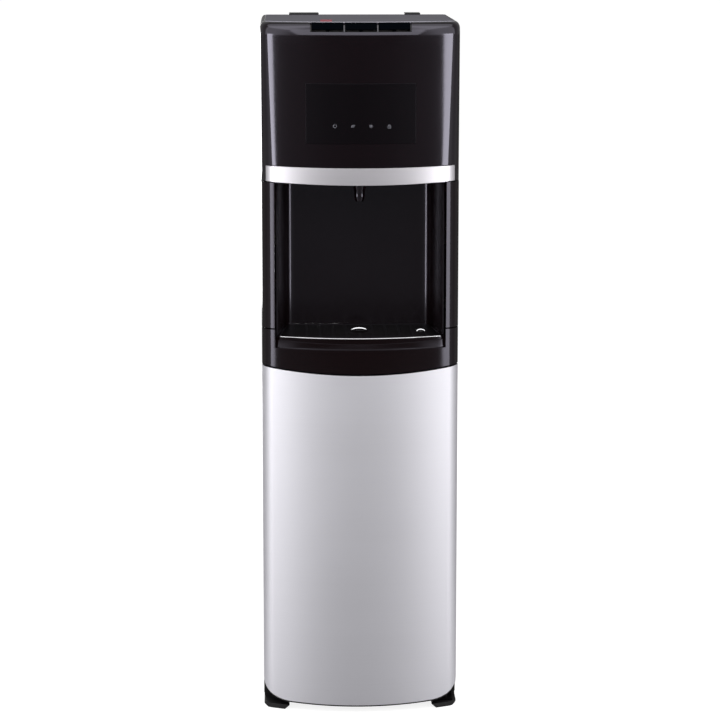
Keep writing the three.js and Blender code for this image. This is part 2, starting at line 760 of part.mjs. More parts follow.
// Head: stacked outlines give the corners that widen downwards, the brow and the rounded sides.
function headLevels(inset) {
  const levels = [];
  const lowest = bandTop + 2;
  const straight = [headBottom, lowest];
  for (let i = 1; i <= 4; i += 1) straight.push(lowest + ((browBottom - lowest) * i) / 4);
  const curved = [0.18, 0.36, 0.52, 0.66, 0.78, 0.88, 0.95, 1];
  for (const z of straight) {
    const up = Math.max(0, (z - lowest) / (browBottom - lowest));
    const corner = headCornerBottom + (headCornerTop - headCornerBottom) * up;
    levels.push({ z, points: plan(seamY, { inset, corner }) });
  }
  for (const turn of curved) {
    const angle = (Math.PI / 2) * turn;
    const z = browBottom + (topHeight - browBottom) * Math.sin(angle);
    const side = half - sideInset(z);
    const front = frontY + browDeep * (1 - Math.cos(angle));
    levels.push({ z, points: plan(seamY, { inset, corner: headCornerTop, front, side }) });
  }
  return levels;
}
function sideInset(z) {
  const up = Math.min(1, Math.max(0, (z - topHeight + sideRoundTall) / sideRoundTall));
  return sideRound * (1 - Math.sqrt(1 - up ** 2));
}
const headOuter = loft(headLevels(0));
const coverPlan = { corner: headCornerTop, front: frontY + browDeep, side: half - sideRound };
const headInner = loft(headLevels(wall).filter(({ z }) => z < coverBottom - 1));
const headVoid = headInner.add(prism(plan(seamY + 1, { inset: wall, corner: headCornerBottom }),
  headBottom - 1, headBottom + 1));
const coverSeat = prism(plan(seamY + 1, coverPlan), coverBottom - gap, far);
const seatHole = prism(plan(seamY + 1, { ...coverPlan, inset: wall }), coverBottom - 20, far);
const keyPocket = block([-keyBankHalf, keyBankHalf], [frontY - 1, frontY + 60], [keyFloor, far]);
const windowSeat = cut(block([-windowHalf - gap, windowHalf + gap], [frontY - 1, seamY],
  [windowBottom - gap, windowTop + gap]), prism(plan(0, { inset: windowThick + gap }), 0, far));
const windowHole = block([-windowHalf + windowLedge, windowHalf - windowLedge], [frontY - 1, seamY],
  [windowBottom + windowLedge, windowTop - windowLedge]);
const boardBosses = [-bossX, bossX].flatMap((x) => [windowBottom + 12, windowTop - 12].map((z) => {
  const reach = curveY - Math.sqrt(frontRadius ** 2 - x ** 2);
  return rodAlongY(bossRadius, reach + wall / 2, boardY - gap, x, z, 12);
}));
const headShell = cut(headOuter, headVoid, coverSeat, seatHole, keyPocket, windowSeat, windowHole);
const bandRecess = cut(bandFront(gap), prism(plan(0, {
  inset: bandThick + gap, corner: headCornerBottom }), 0, far));
add("head_cover", cut(join(headShell, ...boardBosses), bandRecess), glossBlack);

// Display window: smoked acrylic set flush in the head cover.
const windowSheet = cut(prism(plan(0, { inset: gap / 2 }), windowBottom, windowTop),
  prism(plan(1, { inset: windowThick }), 0, far))
  .intersect(block([-windowHalf, windowHalf], [frontY, seamY], [0, far]));
add("display_window", windowSheet, smoked);

// Display board: carried on the head cover's bosses, with a light guide behind each mark.
const lights = iconX.map((x) => rodAlongY(bossRadius, boardY - 9, boardY + 0.5, x, iconHeight, 12));
const boardSlab = block([-boardHalf, boardHalf], [boardY, boardY + boardSheet],
  [windowBottom + 5, windowTop - 5]);
add("display_board", join(boardSlab, ...lights), boardGreen);

// Key bezel: the carrier in the brow with two dividers, and legs that hold the switch board.
const cellWide = (2 * (keyBankHalf - gap) - 2 * bezelWall - 2 * dividerWide) / 3;
const keyX = [-1, 0, 1].map((k) => k * (cellWide + dividerWide));
const bezelBack = browDeep + wall + 1;
const carrierPlan = cut(loft(headLevels(wall + gap)), prism(plan(0, { ...coverPlan,
  front: frontY + bezelBack }), 0, far));
const carrier = carrierPlan.intersect(block([-keyBankHalf + gap, keyBankHalf - gap], [frontY, seamY],
  [bezelBottom, keyFloor]));
const upstand = cut(loft(headLevels(gap)), prism(plan(0, { ...coverPlan, front: frontY + bezelBack }), 0, far))
  .intersect(block([-keyBankHalf + gap, keyBankHalf - gap], [frontY, seamY], [keyFloor - 0.5, coverBottom - 1]));
const upstandTrim = cut(upstand, prism(plan(-frontY, { inset: -5 }), 0, keyFloor + gap)).add(
  carrierPlan.intersect(block([-keyBankHalf + gap, keyBankHalf - gap], [frontY, seamY],
    [keyFloor - 1, keyFloor + 1])));
const keyBack = { ...coverPlan, front: frontY + browDeep };
const cells = keyX.map((x) => cut(block([x - cellWide / 2, x + cellWide / 2], [frontY - 1, frontY + 60],
  [bezelBottom + bezelFloor, far]), prism(plan(0, keyBack), 0, far)));
const stemY = keyX.map((x) => curveY - Math.sqrt(frontRadius ** 2 - x ** 2) + stemSet);
const stemHoles = keyX.map((x, k) => rod(stemRadius + running, 0, far, x, stemY[k], 16));
const legs = [-1, 1].map((side) => block([side * 70 - 3, side * 70 + 3],
  [frontY + browDeep + 2, frontY + browDeep + 8], [switchBoardZ + sheet + gap, bezelBottom + 0.5]));
const bezel = cut(join(carrier, upstandTrim), ...cells, ...stemHoles);
add("key_bezel", join(bezel, ...legs.map((leg) => leg)), dividerGrey);

// Keys: hot, room and cold, each a cap that follows the brow, on a stem over its switch.
const stemBottom = switchBoardZ + sheet + switchHalf + keyTravel + gap;
const keyNames = ["button_hot", "button_room", "button_cold"];
const keySkin = cut(loft(headLevels(gap)), prism(plan(0, { ...coverPlan,
  front: frontY + browDeep - running }), 0, far));
keyNames.forEach((name, k) => {
  const reach = cellWide / 2 - running;
  const cap = keySkin.intersect(block([keyX[k] - reach, keyX[k] + reach], [frontY, seamY],
    [keyBottom, topHeight]));
  const stem = rod(stemRadius, stemBottom, keyBottom + 3, keyX[k], stemY[k], 16);
  add(name, join(cap, stem), glossBlack);
});

// Switch board under the keys, with one switch under each stem.
const switches = keyX.map((x, k) => block([x - switchHalf, x + switchHalf],
  [stemY[k] - switchHalf + 3, stemY[k] + switchHalf + 3], [switchBoardZ + 1, switchBoardZ + sheet + switchHalf]));
const switchSlab = prism(plan(seamY, { inset: wall + 2 * running }), switchBoardZ, switchBoardZ + sheet)
  .intersect(block([-keyBankHalf, keyBankHalf], [frontY, frontY + 36], [0, far]));
add("switch_board", join(switchSlab, ...switches), boardGreen);

// Top cover: a satin grey plate with a flange down the back and the slot for the child lock.
const coverTop = prism(plan(backY + gap, { ...coverPlan, inset: gap }), coverBottom, topHeight);
const coverBack = block([-half + sideRound + gap, half - sideRound - gap], [backY + gap, backY + gap + sheet],
  [topHeight - coverFlange, topHeight]);
const lockSlot = block([lockX - lockNeckWide / 2 - running, lockX + lockNeckWide / 2 + running],
  [lockY - lockNeckLong / 2 - running, lockY + lockNeckLong / 2 + lockTravel + running],
  [coverBottom - 1, topHeight + 1]);
const spacerNotches = [leftSpacer, rightSpacer].map(([x0, x1]) => block([x0 - gap, x1 + gap],
  [backY - 8, backY + 10], [coverBottom - 30, topHeight + 1]));
add("top_cover", cut(join(coverTop, coverBack), lockSlot, ...spacerNotches), coverGrey);

// Child lock: a red slider behind the hot key.
const lockBottom = topHeight + gap;
const lockHead = sideways([
  new THREE.Vector2(lockY - lockLong / 2, lockBottom),
  new THREE.Vector2(lockY + lockLong / 2, lockBottom),
  new THREE.Vector2(lockY + lockLong / 2 - 0.8, lockBottom + lockTall),
  new THREE.Vector2(lockY - lockLong / 2 + 1.6, lockBottom + lockTall),
], lockX - lockWide / 2, lockX + lockWide / 2);
const lockNeck = block([lockX - lockNeckWide / 2, lockX + lockNeckWide / 2],
  [lockY - lockNeckLong / 2, lockY + lockNeckLong / 2], [coverBottom - 1, lockBottom + 1]);
add("child_lock", join(lockHead, lockNeck), lockRed);

// Rear spacers: hooked over the rear edge, they keep the condenser off the wall.
for (const [name, [x0, x1]] of [["rear_spacer_left", leftSpacer], ["rear_spacer_right", rightSpacer]]) {
  const outline = [
    new THREE.Vector2(backY - 7, coverBottom + 0.2),
    new THREE.Vector2(backY - 7, spacerTop),
    new THREE.Vector2(depth / 2 - 4, spacerTop),
    new THREE.Vector2(depth / 2, spacerTop - 6),
    new THREE.Vector2(depth / 2, spacerBottom + 30),
    new THREE.Vector2(backY + gap + wall, spacerBottom),
    new THREE.Vector2(backY + gap, spacerBottom),
    new THREE.Vector2(backY + gap, coverBottom + 0.2),
  ];
  add(name, sideways(outline, x0, x1), satinBlack);
}

// Door: outline in plan with a hinge edge that is round about the hinge pins.
function doorPlan(inset) {
  const front = frontCurve({ inset });
  const edge = doorAngleEdge - inset > 1 ? doorAngleEdge - inset : 1;
  return [
    ...front,
    ...arc(hingeX, hingeY, hingeEdgeRadius - inset, 0, Math.PI / 2, 8).slice(1),
    ...arc(-half + inset + edge, doorBackY - inset - edge, edge, Math.PI / 2, Math.PI, 4),
  ];
}
function doorBottomEdge(drop) {
  const start = half - doorCornerWide;
  const points = [];
  const xs = [];
  for (let i = 0; i <= 8; i += 1) xs.push((start * i) / 8);
  for (let i = 1; i <= 9; i += 1) xs.push(start + doorCornerWide * Math.sin((Math.PI / 2) * (i / 9)));
  for (const x of xs) {
    const turn = Math.max(0, (x - start) / doorCornerWide);
    const corner = doorCornerTall * (1 - Math.sqrt(Math.max(0, 1 - turn ** 2)));
    const z = doorBottom - drop + doorRise * (x / half) ** 2 + corner;
    points.push(new THREE.Vector2(x, z));
  }
  const left = points.slice(1).reverse().map((p) => new THREE.Vector2(-p.x, p.y));
  return [...left, ...points];
}
const doorTopEdge = seam(beltBottom - doorSeam, beltRise);
const doorTopZ = beltBottom + beltRise;
const skinFront = elevation(between(doorBottomEdge(0), doorTopEdge), frontY - 1, hingeY + skinReturn);
const skinRing = cut(prism(doorPlan(0), 0, doorTopZ), prism(doorPlan(skinSheet), -1, far));
add("door_skin", skinRing.intersect(skinFront), steel);

// Door liner: the moulded inner door, with a hollow for the bottle and a lip under the skin.
const linerFront = elevation(between(doorBottomEdge(doorLip), doorTopEdge), frontY - 1, doorBackY + 1);
const lipFront = elevation(between(doorBottomEdge(doorLip), doorBottomEdge(gap)), frontY - 1, doorBackY + 1);
const linerCore = prism(doorPlan(skinSheet + gap), 0, doorTopZ).intersect(linerFront);
const lip = prism(doorPlan(gap), 0, doorTopZ).intersect(lipFront);
const rearBand = prism(doorPlan(0), 0, doorTopZ).intersect(linerFront)
  .intersect(block([-half, half], [hingeY + skinReturn + gap, doorBackY], [0, far]));
const recess = elevation(roundedRectangle(-doorRecessHalf, doorRecessHalf, doorRecessBottom, doorRecessTop,
  doorRecessCorner), doorBackY - doorRecessDeep, doorBackY + 1);
const lowPinHole = rod(pinRadius + gap, 0, doorBottom + pinLength + 16, hingeX, hingeY);
const highPinHole = rod(pinRadius + gap, beltBottom - pinLength - 2, far, hingeX, hingeY);
const strikeX = [-half + 9, -half + 25];
const strikeZ = [deckZ - 30, deckZ - 10];
const strikeDeep = 1.2;
const strikePocket = block([strikeX[0] - gap, strikeX[1] + gap], [doorBackY - strikeDeep - gap, doorBackY + 1],
  [strikeZ[0] - gap, strikeZ[1] + gap]);
add("door_liner", cut(join(linerCore, lip, rearBand), recess, lowPinHole, highPinHole, strikePocket), satinBlack);

// Door strike and the magnetic catch that holds it.
add("door_strike", block(strikeX, [doorBackY - strikeDeep, doorBackY - 0.2], strikeZ), zinc);
add("door_catch", block([strikeX[0], strikeX[1]], [doorBackY + gap, doorBackY + 16],
  [strikeZ[0], deckZ - gap]), nylonWhite);

// Hinge brackets: folded plates, each with the pin that the door turns on.
const lowPlateZ = frontFootTop + gap;
const lowPlate = block([hingeX - hingePlateHalf, hingeX + hingePlateHalf - 1], [hingeY - hingePlateHalf,
  seamY - gap], [lowPlateZ, lowPlateZ + hingePlate]);
const lowRiser = block([hingeX - hingePlateHalf, hingeX + hingePlateHalf - 1], [seamY - gap - hingePlate,
  seamY - gap], [lowPlateZ, floorHeight - wall]);
const lowPin = rod(pinRadius, lowPlateZ, doorBottom + pinLength + 14, hingeX, hingeY);
add("lower_hinge_bracket", join(lowPlate, lowRiser, lowPin), zinc);
const highPlateZ = beltBottom + beltRise + 3;
const highPlate = block([hingeX - hingePlateHalf, hingeX + hingePlateHalf - 1], [hingeY - hingePlateHalf,
  seamY + 10], [highPlateZ, highPlateZ + hingePlate]);
const highRiser = block([hingeX - hingePlateHalf, hingeX + hingePlateHalf - 1], [seamY + 10 - hingePlate,
  seamY + 10], [deckZ + sheet + gap, highPlateZ + hingePlate]);
const highFoot = block([hingeX - hingePlateHalf, hingeX + hingePlateHalf - 1], [seamY + 10 - hingePlate,
  seamY + 34], [deckZ + sheet + gap, deckZ + sheet + gap + hingePlate]);
const highPin = rod(pinRadius, beltBottom - pinLength, highPlateZ + hingePlate, hingeX, hingeY);
add("upper_hinge_bracket", join(highPlate, highRiser, highFoot, highPin), zinc);

// Bottle probe: rigid tube and collar on a wall clip, with the hose up to the pump.
const collarTop = collarBottom + collarTall;
add("probe_tube", rod(probeRadius, probeBottom, collarBottom - gap, probeX, probeY, 16), nylonWhite);
const collarProfile = [
  [0, collarBottom], [collarRadius, collarBottom], [collarRadius, collarBottom + 5],
  [collarRadius - 3, collarBottom + 6], [collarRadius - 3, collarTop - 2], [collarRadius - 5, collarTop],
  [0, collarTop],
];
add("probe_collar", turned(collarProfile, probeX, probeY, 24), nylonWhite);
const clipZ = [collarBottom - 178, collarBottom - 160];
const clipRing = cut(rod(probeRadius + 3, ...clipZ, probeX, probeY, 20),
  rod(probeRadius + gap, 0, far, probeX, probeY, 20));
const clipArm = block([-panelInner + gap, probeX - probeRadius - 1], [probeY - 5, probeY + 5], clipZ);
add("probe_clip", join(clipRing, clipArm), nylonWhite);
const pumpBottom = deckZ + sheet + gap;
add("suction_hose", tube([
  [probeX, probeY, collarTop + gap], [probeX, probeY, collarTop + 12], [probeX + 6, probeY - 1, collarTop + 26],
  [pumpX - 5, pumpY + 1, deckZ - 18], [pumpX, pumpY, deckZ - 6], [pumpX, pumpY, pumpBottom - 0.1],
], hoseRadius, 22), hoseClear);

// Water pump: a small can on the deck over the hose.
const pumpTop = pumpBottom + pumpTall;
add("water_pump", turned([
  [0, pumpBottom + 0.2], [pumpRadius + 4, pumpBottom + 0.2], [pumpRadius + 4, pumpBottom + 4],
  [pumpRadius, pumpBottom + 4], [pumpRadius, pumpTop - 4], [pumpRadius - 4, pumpTop], [0, pumpTop],
], pumpX, pumpY, 28), satinBlack);

// Compressor on its tray.
const trayTop = deckZ + sheet + gap + hingePlate;
const compressorBottom = trayTop + 8;
const studs = [[-1, -1], [1, -1], [0, 1]].map(([a, b]) => rod(7, trayTop - 1, compressorBottom - gap,
  compressorX + a * 38, bayY + b * 38, 16));
const compressorPlate = block([compressorX - 60, compressorX + 60], [bayY - 60, bayY + 60],
  [deckZ + sheet + gap, trayTop]);
add("compressor_tray", join(compressorPlate, ...studs), zinc);
const compressorTop = compressorBottom + compressorTall;
add("compressor", turned([
  [0, compressorBottom], [compressorRadius - 14, compressorBottom], [compressorRadius, compressorBottom + 16],
  [compressorRadius, compressorBottom + 70], [compressorRadius + 3, compressorBottom + 70],
  [compressorRadius + 3, compressorBottom + 75], [compressorRadius, compressorBottom + 75],
  [compressorRadius - 2, compressorTop - 34], [compressorRadius - 16, compressorTop - 10],
  [compressorRadius - 36, compressorTop], [0, compressorTop],
], compressorX, bayY, 32), compressorBlack);

// Bay shelf with holes for the lines.
const lineX = coldX + foamRadius + 16;
const lineY = bayY - 54;
const riserX = -half + 12;
const riserY = rearInner - 9.3;
const shelf = block([-panelInner + gap, panelInner - gap], [nicheBackY + nicheWall + gap, rearInner - gap],
  [shelfZ, shelfZ + sheet]);
add("bay_shelf", cut(shelf, rod(lineRadius + 2, shelfZ - 1, shelfZ + 4, lineX, lineY),
  rod(lineRadius + 2, shelfZ - 1, shelfZ + 4, riserX, riserY)), zinc);

// Cold tank, open at the top, in its foam.
const foamBottom = shelfZ + sheet + gap;
const foamTop = foamBottom + foamTall;
const tankRadius = foamRadius - foamWall - gap;
add("cold_tank_foam", turned([
  [0, foamBottom], [foamRadius, foamBottom], [foamRadius, foamTop], [foamRadius - foamWall, foamTop],
  [foamRadius - foamWall, foamBottom + foamWall], [0, foamBottom + foamWall],
], coldX, bayY), foamWhite);
const tankBottom = foamBottom + foamWall + gap;
add("cold_tank", turned([
  [0, tankBottom], [tankRadius, tankBottom], [tankRadius, foamTop], [tankRadius - tankWall, foamTop],
  [tankRadius - tankWall, tankBottom + tankWall], [0, tankBottom + tankWall],
], coldX, bayY), steel);
// Hot tank with an open neck at its top.
const hotBottom = shelfZ + sheet + gap;
const hotTop = hotBottom + hotTall;
add("hot_tank", turned([
  [0, hotBottom], [hotRadius, hotBottom], [hotRadius, hotTop - 14], [hotRadius - 12, hotTop - 4],
  [hotNeck, hotTop - 4], [hotNeck, hotTop + 6], [hotNeck - 2, hotTop + 6], [hotNeck - 2, hotTop - 6],
  [hotRadius - 13, hotTop - 6], [hotRadius - 2, hotTop - 15], [hotRadius - 2, hotBottom + 2],
  [0, hotBottom + 2],
], hotX, hotY), steel);

// Valve block over the niche's ceiling: three valves, one for each key, on one manifold.
const valveBottom = nicheCeiling + ceilingSheet + gap;
const valveBody = block([valveX[2] - valveWide / 2, valveX[0] + valveWide / 2],
  [valveY - valveDeep / 2, valveY + valveDeep / 2], [valveBottom, valveBottom + valveTall]);
const valveCans = valveX.map((x) => rod(coilCanRadius, valveBottom + valveTall - 1,
  valveBottom + valveTall + 26, x, valveY));
add("valve_block", join(valveBody, ...valveCans), nylonWhite);

// Water lines: hot tank to its valve, cold tank to its valve, and pump up to the cold tank.
const valveMouth = valveWide / 2 + gap;
const mouthZ = valveBottom + valveTall / 2;
add("hot_line", tube([
  [hotX, hotY, hotTop + 6 + gap], [hotX, hotY, hotTop + 20], [hotX - 2, hotY - 24, hotTop + 30],
  [hotX - 4, valveY + 6, hotTop], [valveX[0] + valveMouth + 12, valveY, mouthZ],
  [valveX[0] + valveMouth, valveY, mouthZ],
], lineRadius, 30), hoseClear);
add("cold_line", tube([
  [coldX, bayY, foamTop - 20], [coldX, bayY, foamTop + 14], [coldX + 2, bayY - 50, foamTop + 30],
  [coldX, valveY + 10, foamTop], [valveX[2] - valveMouth - 12, valveY, mouthZ],
  [valveX[2] - valveMouth, valveY, mouthZ],
], lineRadius, 30), hoseClear);
add("pump_line", tube([
  [pumpX - 8, pumpY + 8, pumpTop + gap], [pumpX - 8, pumpY + 8, pumpTop + 12],
  [riserX, riserY, pumpTop + 50], [riserX, riserY, shelfZ - 30], [riserX, riserY, shelfZ + 40],
  [riserX, riserY, foamTop - 20], [riserX + 4, riserY - 4, foamTop + 10],
  [coldX - 38, bayY + 34, foamTop + 14], [coldX - 34, bayY + 30, foamTop - 20],
], lineRadius, 50), hoseClear);

// Suction line from the compressor to the cold tank.
const towards = Math.atan2(lineY - bayY, lineX - coldX);
function besideFoam(out, z) {
  const reach = foamRadius + out;
  return [coldX + reach * Math.cos(towards), bayY + reach * Math.sin(towards), z];
}
add("suction_line", tube([
  [compressorX - 10, bayY - 14, compressorTop + gap], [compressorX - 10, bayY - 14, compressorTop + 6],
  [lineX, lineY + 2, compressorTop + 12],
  [lineX, lineY, shelfZ + 6], [lineX, lineY, shelfZ + 50],
  besideFoam(16, shelfZ + 70), besideFoam(gap, shelfZ + 71),
], lineRadius, 30), copper);

// Control box: an open-fronted case on the rear panel.
const caseZ = [topHeight - 110, topHeight - 40];
const caseX = [-60, 70];
const caseY = [backY - 64.3, rearInner - gap];
const caseBox = block(caseX, caseY, caseZ);
const caseHollow = block([caseX[0] + wall, caseX[1] - wall], [caseY[0] - 1, caseY[1] - wall],
  [caseZ[0] + wall, caseZ[1] - wall]);
add("control_box", cut(caseBox, caseHollow), satinBlack);

// Rear switches: a frame in the rear panel with two rockers.
const frameX = [switchMiddle - switchHalfWide, switchMiddle + switchHalfWide];
const frameZ = [switchZ - cellTall / 2 - wall, switchZ + cellTall / 2 + wall];
const frameBody = block(frameX, [rearInner - 8, backY + gap + 1], frameZ);
const frameFlange = block([frameX[0] - switchFlange, frameX[1] + switchFlange], [backY + gap, backY + gap + 1.8],
  [frameZ[0] - switchFlange, frameZ[1] + switchFlange]);
const rockerCells = switchX.map((x) => block([x - rockerWide / 2 - running, x + rockerWide / 2 + running],
  [rearInner - 9, backY + 9], [switchZ - cellTall / 2, switchZ + cellTall / 2]));
add("switch_frame", cut(join(frameBody, frameFlange), ...rockerCells), satinBlack);
const tilt = (-rockerTilt * Math.PI) / 180;
[["rocker_heat", 0], ["rocker_cool", 1]].forEach(([name, k]) => {
  const tall = rockerTall / 2;
  const corners = [[-rockerBack, -tall + 4], [rockerOut, -tall], [rockerDish, 0], [rockerOut, tall],
    [-rockerBack, tall - 4]];
  const outline = corners.map(([y, z]) => new THREE.Vector2(
    rockerPivotY + y * Math.cos(tilt) - z * Math.sin(tilt), switchZ + y * Math.sin(tilt) + z * Math.cos(tilt)));
  add(name, sideways(outline, switchX[k] - rockerWide / 2, switchX[k] + rockerWide / 2),
    k ? matteBlack : lockRed);
});

// Condenser: one unbroken tube in flat runs on two rails behind the rear panel.
function serpentine() {
  const points = [];
  const bend = coilPitch / 2;
  const reach = coilHalf - bend;
  for (let run = 0; run < coilRuns; run += 1) {
    const side = run % 2 ? -1 : 1;
    const z = coilBottom + run * coilPitch;
    points.push(new THREE.Vector3(-side * reach, coilY, z), new THREE.Vector3(side * reach, coilY, z));
    for (let i = 1; i < 6 && run + 1 < coilRuns; i += 1) {
      const angle = -Math.PI / 2 + (Math.PI * i) / 6;
      points.push(new THREE.Vector3(side * (reach + bend * Math.cos(angle)), coilY,
        z + bend + bend * Math.sin(angle)));
    }
  }
  return points;
}
// A tube ring by ring through points that lie in one upright plane.
function flatTube(points, radius, sides) {
  const positions = [];
  const index = [];
  const count = points.length;
  const out = new THREE.Vector3(0, 1, 0);
  points.forEach((point, i) => {
    const before = points[Math.max(0, i - 1)];
    const after = points[Math.min(count - 1, i + 1)];
    const along = after.clone().sub(before).normalize();
    const across = out.clone().cross(along).normalize();
    for (let k = 0; k < sides; k += 1) {
      const angle = (2 * Math.PI * k) / sides;
      const place = point.clone().addScaledVector(across, radius * Math.cos(angle))
        .addScaledVector(out, radius * Math.sin(angle));
      positions.push(place.x, place.y, place.z);
    }
  });
  for (let i = 0; i + 1 < count; i += 1) {
    for (let k = 0; k < sides; k += 1) {
      const a = i * sides + k;
      const b = i * sides + ((k + 1) % sides);
      index.push(a, b, b + sides, a, b + sides, a + sides);
    }
  }
  for (let k = 1; k + 1 < sides; k += 1) {
    const end = (count - 1) * sides;
    index.push(0, k + 1, k, end, end + k, end + k + 1);
  }
  const geometry = new THREE.BufferGeometry();
  geometry.setAttribute("position", new THREE.Float32BufferAttribute(positions, 3));
  geometry.setIndex(index);
  return toSolid(geometry);
}
const coilPoints = serpentine();
const coilTail = (point) => rodAlongY(coilTube, backY + gap, coilY, point.x, point.z, 8);
add("condenser_coil", join(flatTube(coilPoints, coilTube, 8), coilTail(coilPoints[0]),
  coilTail(coilPoints[coilPoints.length - 1])), compressorBlack);
const railTop = coilBottom + (coilRuns - 1) * coilPitch + 20;
for (const [name, side] of [["condenser_rail_left", -1], ["condenser_rail_right", 1]]) {
  const x = side * railX;
  const rail = block([x - railWide / 2, x + railWide / 2], [backY + gap, coilY - coilTube - gap],
    [coilBottom - 20, railTop]);
  add(name, rail, zinc);
}

// Drain: a spout through the rear panel with a screw cap, and the gland where a cord would enter.
const spoutEnd = backY + 12;
const flangeEnd = backY + gap + 2;
const spout = join(rodAlongY(drainRadius, rearInner - 12, spoutEnd, drainX, drainZ),
  rodAlongY(drainRadius + 4, backY + gap, flangeEnd, drainX, drainZ));
add("drain_spout", cut(spout, rodAlongY(drainRadius - 2, rearInner - 13, spoutEnd + 1, drainX, drainZ)),
  nylonWhite);
const capStart = flangeEnd + running;
const capBody = rodAlongY(capRadius, capStart, capStart + capDeep, drainX, drainZ, 28);
const capHollow = rodAlongY(drainRadius + running, capStart - 1, spoutEnd + running, drainX, drainZ);
const capGrips = [];
for (let i = 0; i < 8; i += 1) {
  const angle = (2 * Math.PI * i) / 8;
  capGrips.push(rodAlongY(2, capStart - 1, capStart + capDeep + 1, drainX + (capRadius + 1) * Math.cos(angle),
    drainZ + (capRadius + 1) * Math.sin(angle), 10));
}
add("drain_cap", cut(capBody, capHollow, ...capGrips), satinBlack);
const gland = join(rodAlongY(glandRadius, rearInner - 6, backY + 8, glandX, glandZ),
  rodAlongY(glandRadius + 3, backY + gap, backY + gap + 3, glandX, glandZ));
add("cord_gland", cut(gland, rodAlongY(glandRadius - 3, rearInner - 7, backY + 9, glandX, glandZ)), matteBlack);

export default object;
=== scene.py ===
from math import asin, cos, pi, radians, sin, sqrt

import bmesh
import bpy
from mathutils import Matrix, Vector


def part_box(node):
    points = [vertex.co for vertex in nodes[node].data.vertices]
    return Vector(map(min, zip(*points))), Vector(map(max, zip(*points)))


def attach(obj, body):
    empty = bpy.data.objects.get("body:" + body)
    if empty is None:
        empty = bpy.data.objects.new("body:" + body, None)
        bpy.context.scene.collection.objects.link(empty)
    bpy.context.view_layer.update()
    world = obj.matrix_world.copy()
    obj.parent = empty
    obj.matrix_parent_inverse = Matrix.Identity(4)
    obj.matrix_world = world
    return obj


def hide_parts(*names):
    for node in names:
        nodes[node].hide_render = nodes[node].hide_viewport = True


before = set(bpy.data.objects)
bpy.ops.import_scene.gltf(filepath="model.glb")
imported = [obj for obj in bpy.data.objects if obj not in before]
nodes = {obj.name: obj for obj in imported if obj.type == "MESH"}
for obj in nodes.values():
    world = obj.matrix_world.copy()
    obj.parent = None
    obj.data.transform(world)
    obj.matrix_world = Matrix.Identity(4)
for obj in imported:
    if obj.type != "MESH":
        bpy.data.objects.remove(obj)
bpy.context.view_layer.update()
scene = bpy.context.scene


# ---- Camera ----
# The cooler is seen from 4.2 m away, a little above its top and a little from its left, through a
# long lens, so that its sides stay nearly parallel.
lens = bpy.data.cameras.new("camera")
lens.lens = 130.6
lens.sensor_width = 36
lens.clip_start, lens.clip_end = 0.05, 200
camera = bpy.data.objects.new("camera", lens)
camera.location = (-0.1223, -4.1981, 1.2562)
camera.rotation_euler = (pi / 2 - 0.1685, 0, -0.030)
scene.collection.objects.link(camera)
scene.camera = camera
scene.view_settings.view_transform = "Standard"


# ---- Studio ----
# A white cove with a narrow soft box at each side, broad ones in front and overhead, and a small
# one low behind. Metal and gloss see a room that is darker behind the camera than at both sides.
class Wire:
    """A socket of a shader that takes part in sums; `node` adds any other node beside it."""

    def __init__(self, tree, socket=None):
        self.tree, self.socket = tree, socket

    def node(self, kind, settings=None, sockets=None, out=0):
        made = self.tree.nodes.new("ShaderNode" + kind)
        for name, value in (settings or {}).items():
            if name == "stops":
                ramp = made.color_ramp.elements
                while len(ramp) < len(value):
                    ramp.new(0.5)
                for stop, (place, shade) in zip(ramp, value):
                    stop.position = place
                    stop.color = shade if hasattr(shade, "__len__") else (shade, shade, shade, 1)
            else:
                setattr(made, name, value)
        for name, value in (sockets or {}).items():
            self.feed(value, made.inputs[name])
        return Wire(self.tree, made.outputs[out])

    def feed(self, value, socket):
        if isinstance(value, Wire):
            self.tree.links.new(value.socket, socket)
        else:
            socket.default_value = value

    def sum(self, operation, first, second):
        return self.node("Math", {"operation": operation}, {0: first, 1: second})

    def __add__(self, other):
        return self.sum("ADD", self, other)

    def __radd__(self, other):
        return self.sum("ADD", other, self)

    def __sub__(self, other):
        return self.sum("SUBTRACT", self, other)

    def __rsub__(self, other):
        return self.sum("SUBTRACT", other, self)

    def __mul__(self, other):
        return self.sum("MULTIPLY", self, other)

    def __rmul__(self, other):
        return self.sum("MULTIPLY", other, self)

    def __truediv__(self, other):
        return self.sum("DIVIDE", self, other)

    def __pow__(self, other):
        return self.sum("POWER", self, other)

    def __abs__(self):
        return self.sum("ABSOLUTE", self, 0)


def eased_ramp(wire, value, start, end, low=0.0, high=1.0):
    """Goes smoothly from low to high while a value goes from start to end."""
    return wire.node("MapRange", {"interpolation_type": "SMOOTHSTEP"},
                     {0: value, 1: start, 2: end, 3: low, 4: high})


ROOM_LIGHT = 0.50  # what lights the object from all round
world = bpy.data.worlds.new("studio")
world.use_nodes = True
scene.world = world
sky = Wire(world.node_tree)
air = world.node_tree.nodes["Background"]
air.inputs["Color"].default_value = (1, 1, 1, 1)
facing = sky.node("TexCoord", out="Generated")
across = sky.node("SeparateXYZ", {}, {0: facing}, out="X")
along = sky.node("SeparateXYZ", {}, {0: facing}, out="Y")
height = sky.node("SeparateXYZ", {}, {0: facing}, out="Z")
side = abs(across) / (across ** 2 + along ** 2 + 0.0001) ** 0.5
front = eased_ramp(sky, along * (1.001 - side) - height * 0.4, -0.7, 0.0, 0.09, 0.34)
flank = eased_ramp(sky, side, 0.52, 0.78)
low = eased_ramp(sky, height, 0.0, 0.12)
ahead = sky.node("MapRange", {}, {0: along, 1: -0.1, 2: -0.25})
reflected = front + flank * low * ahead * 1.1
seen = sky.node("LightPath", out="Is Camera Ray")
mirrored = sky.node("LightPath", out="Is Glossy Ray")
through = sky.node("LightPath", out="Is Transmission Ray")
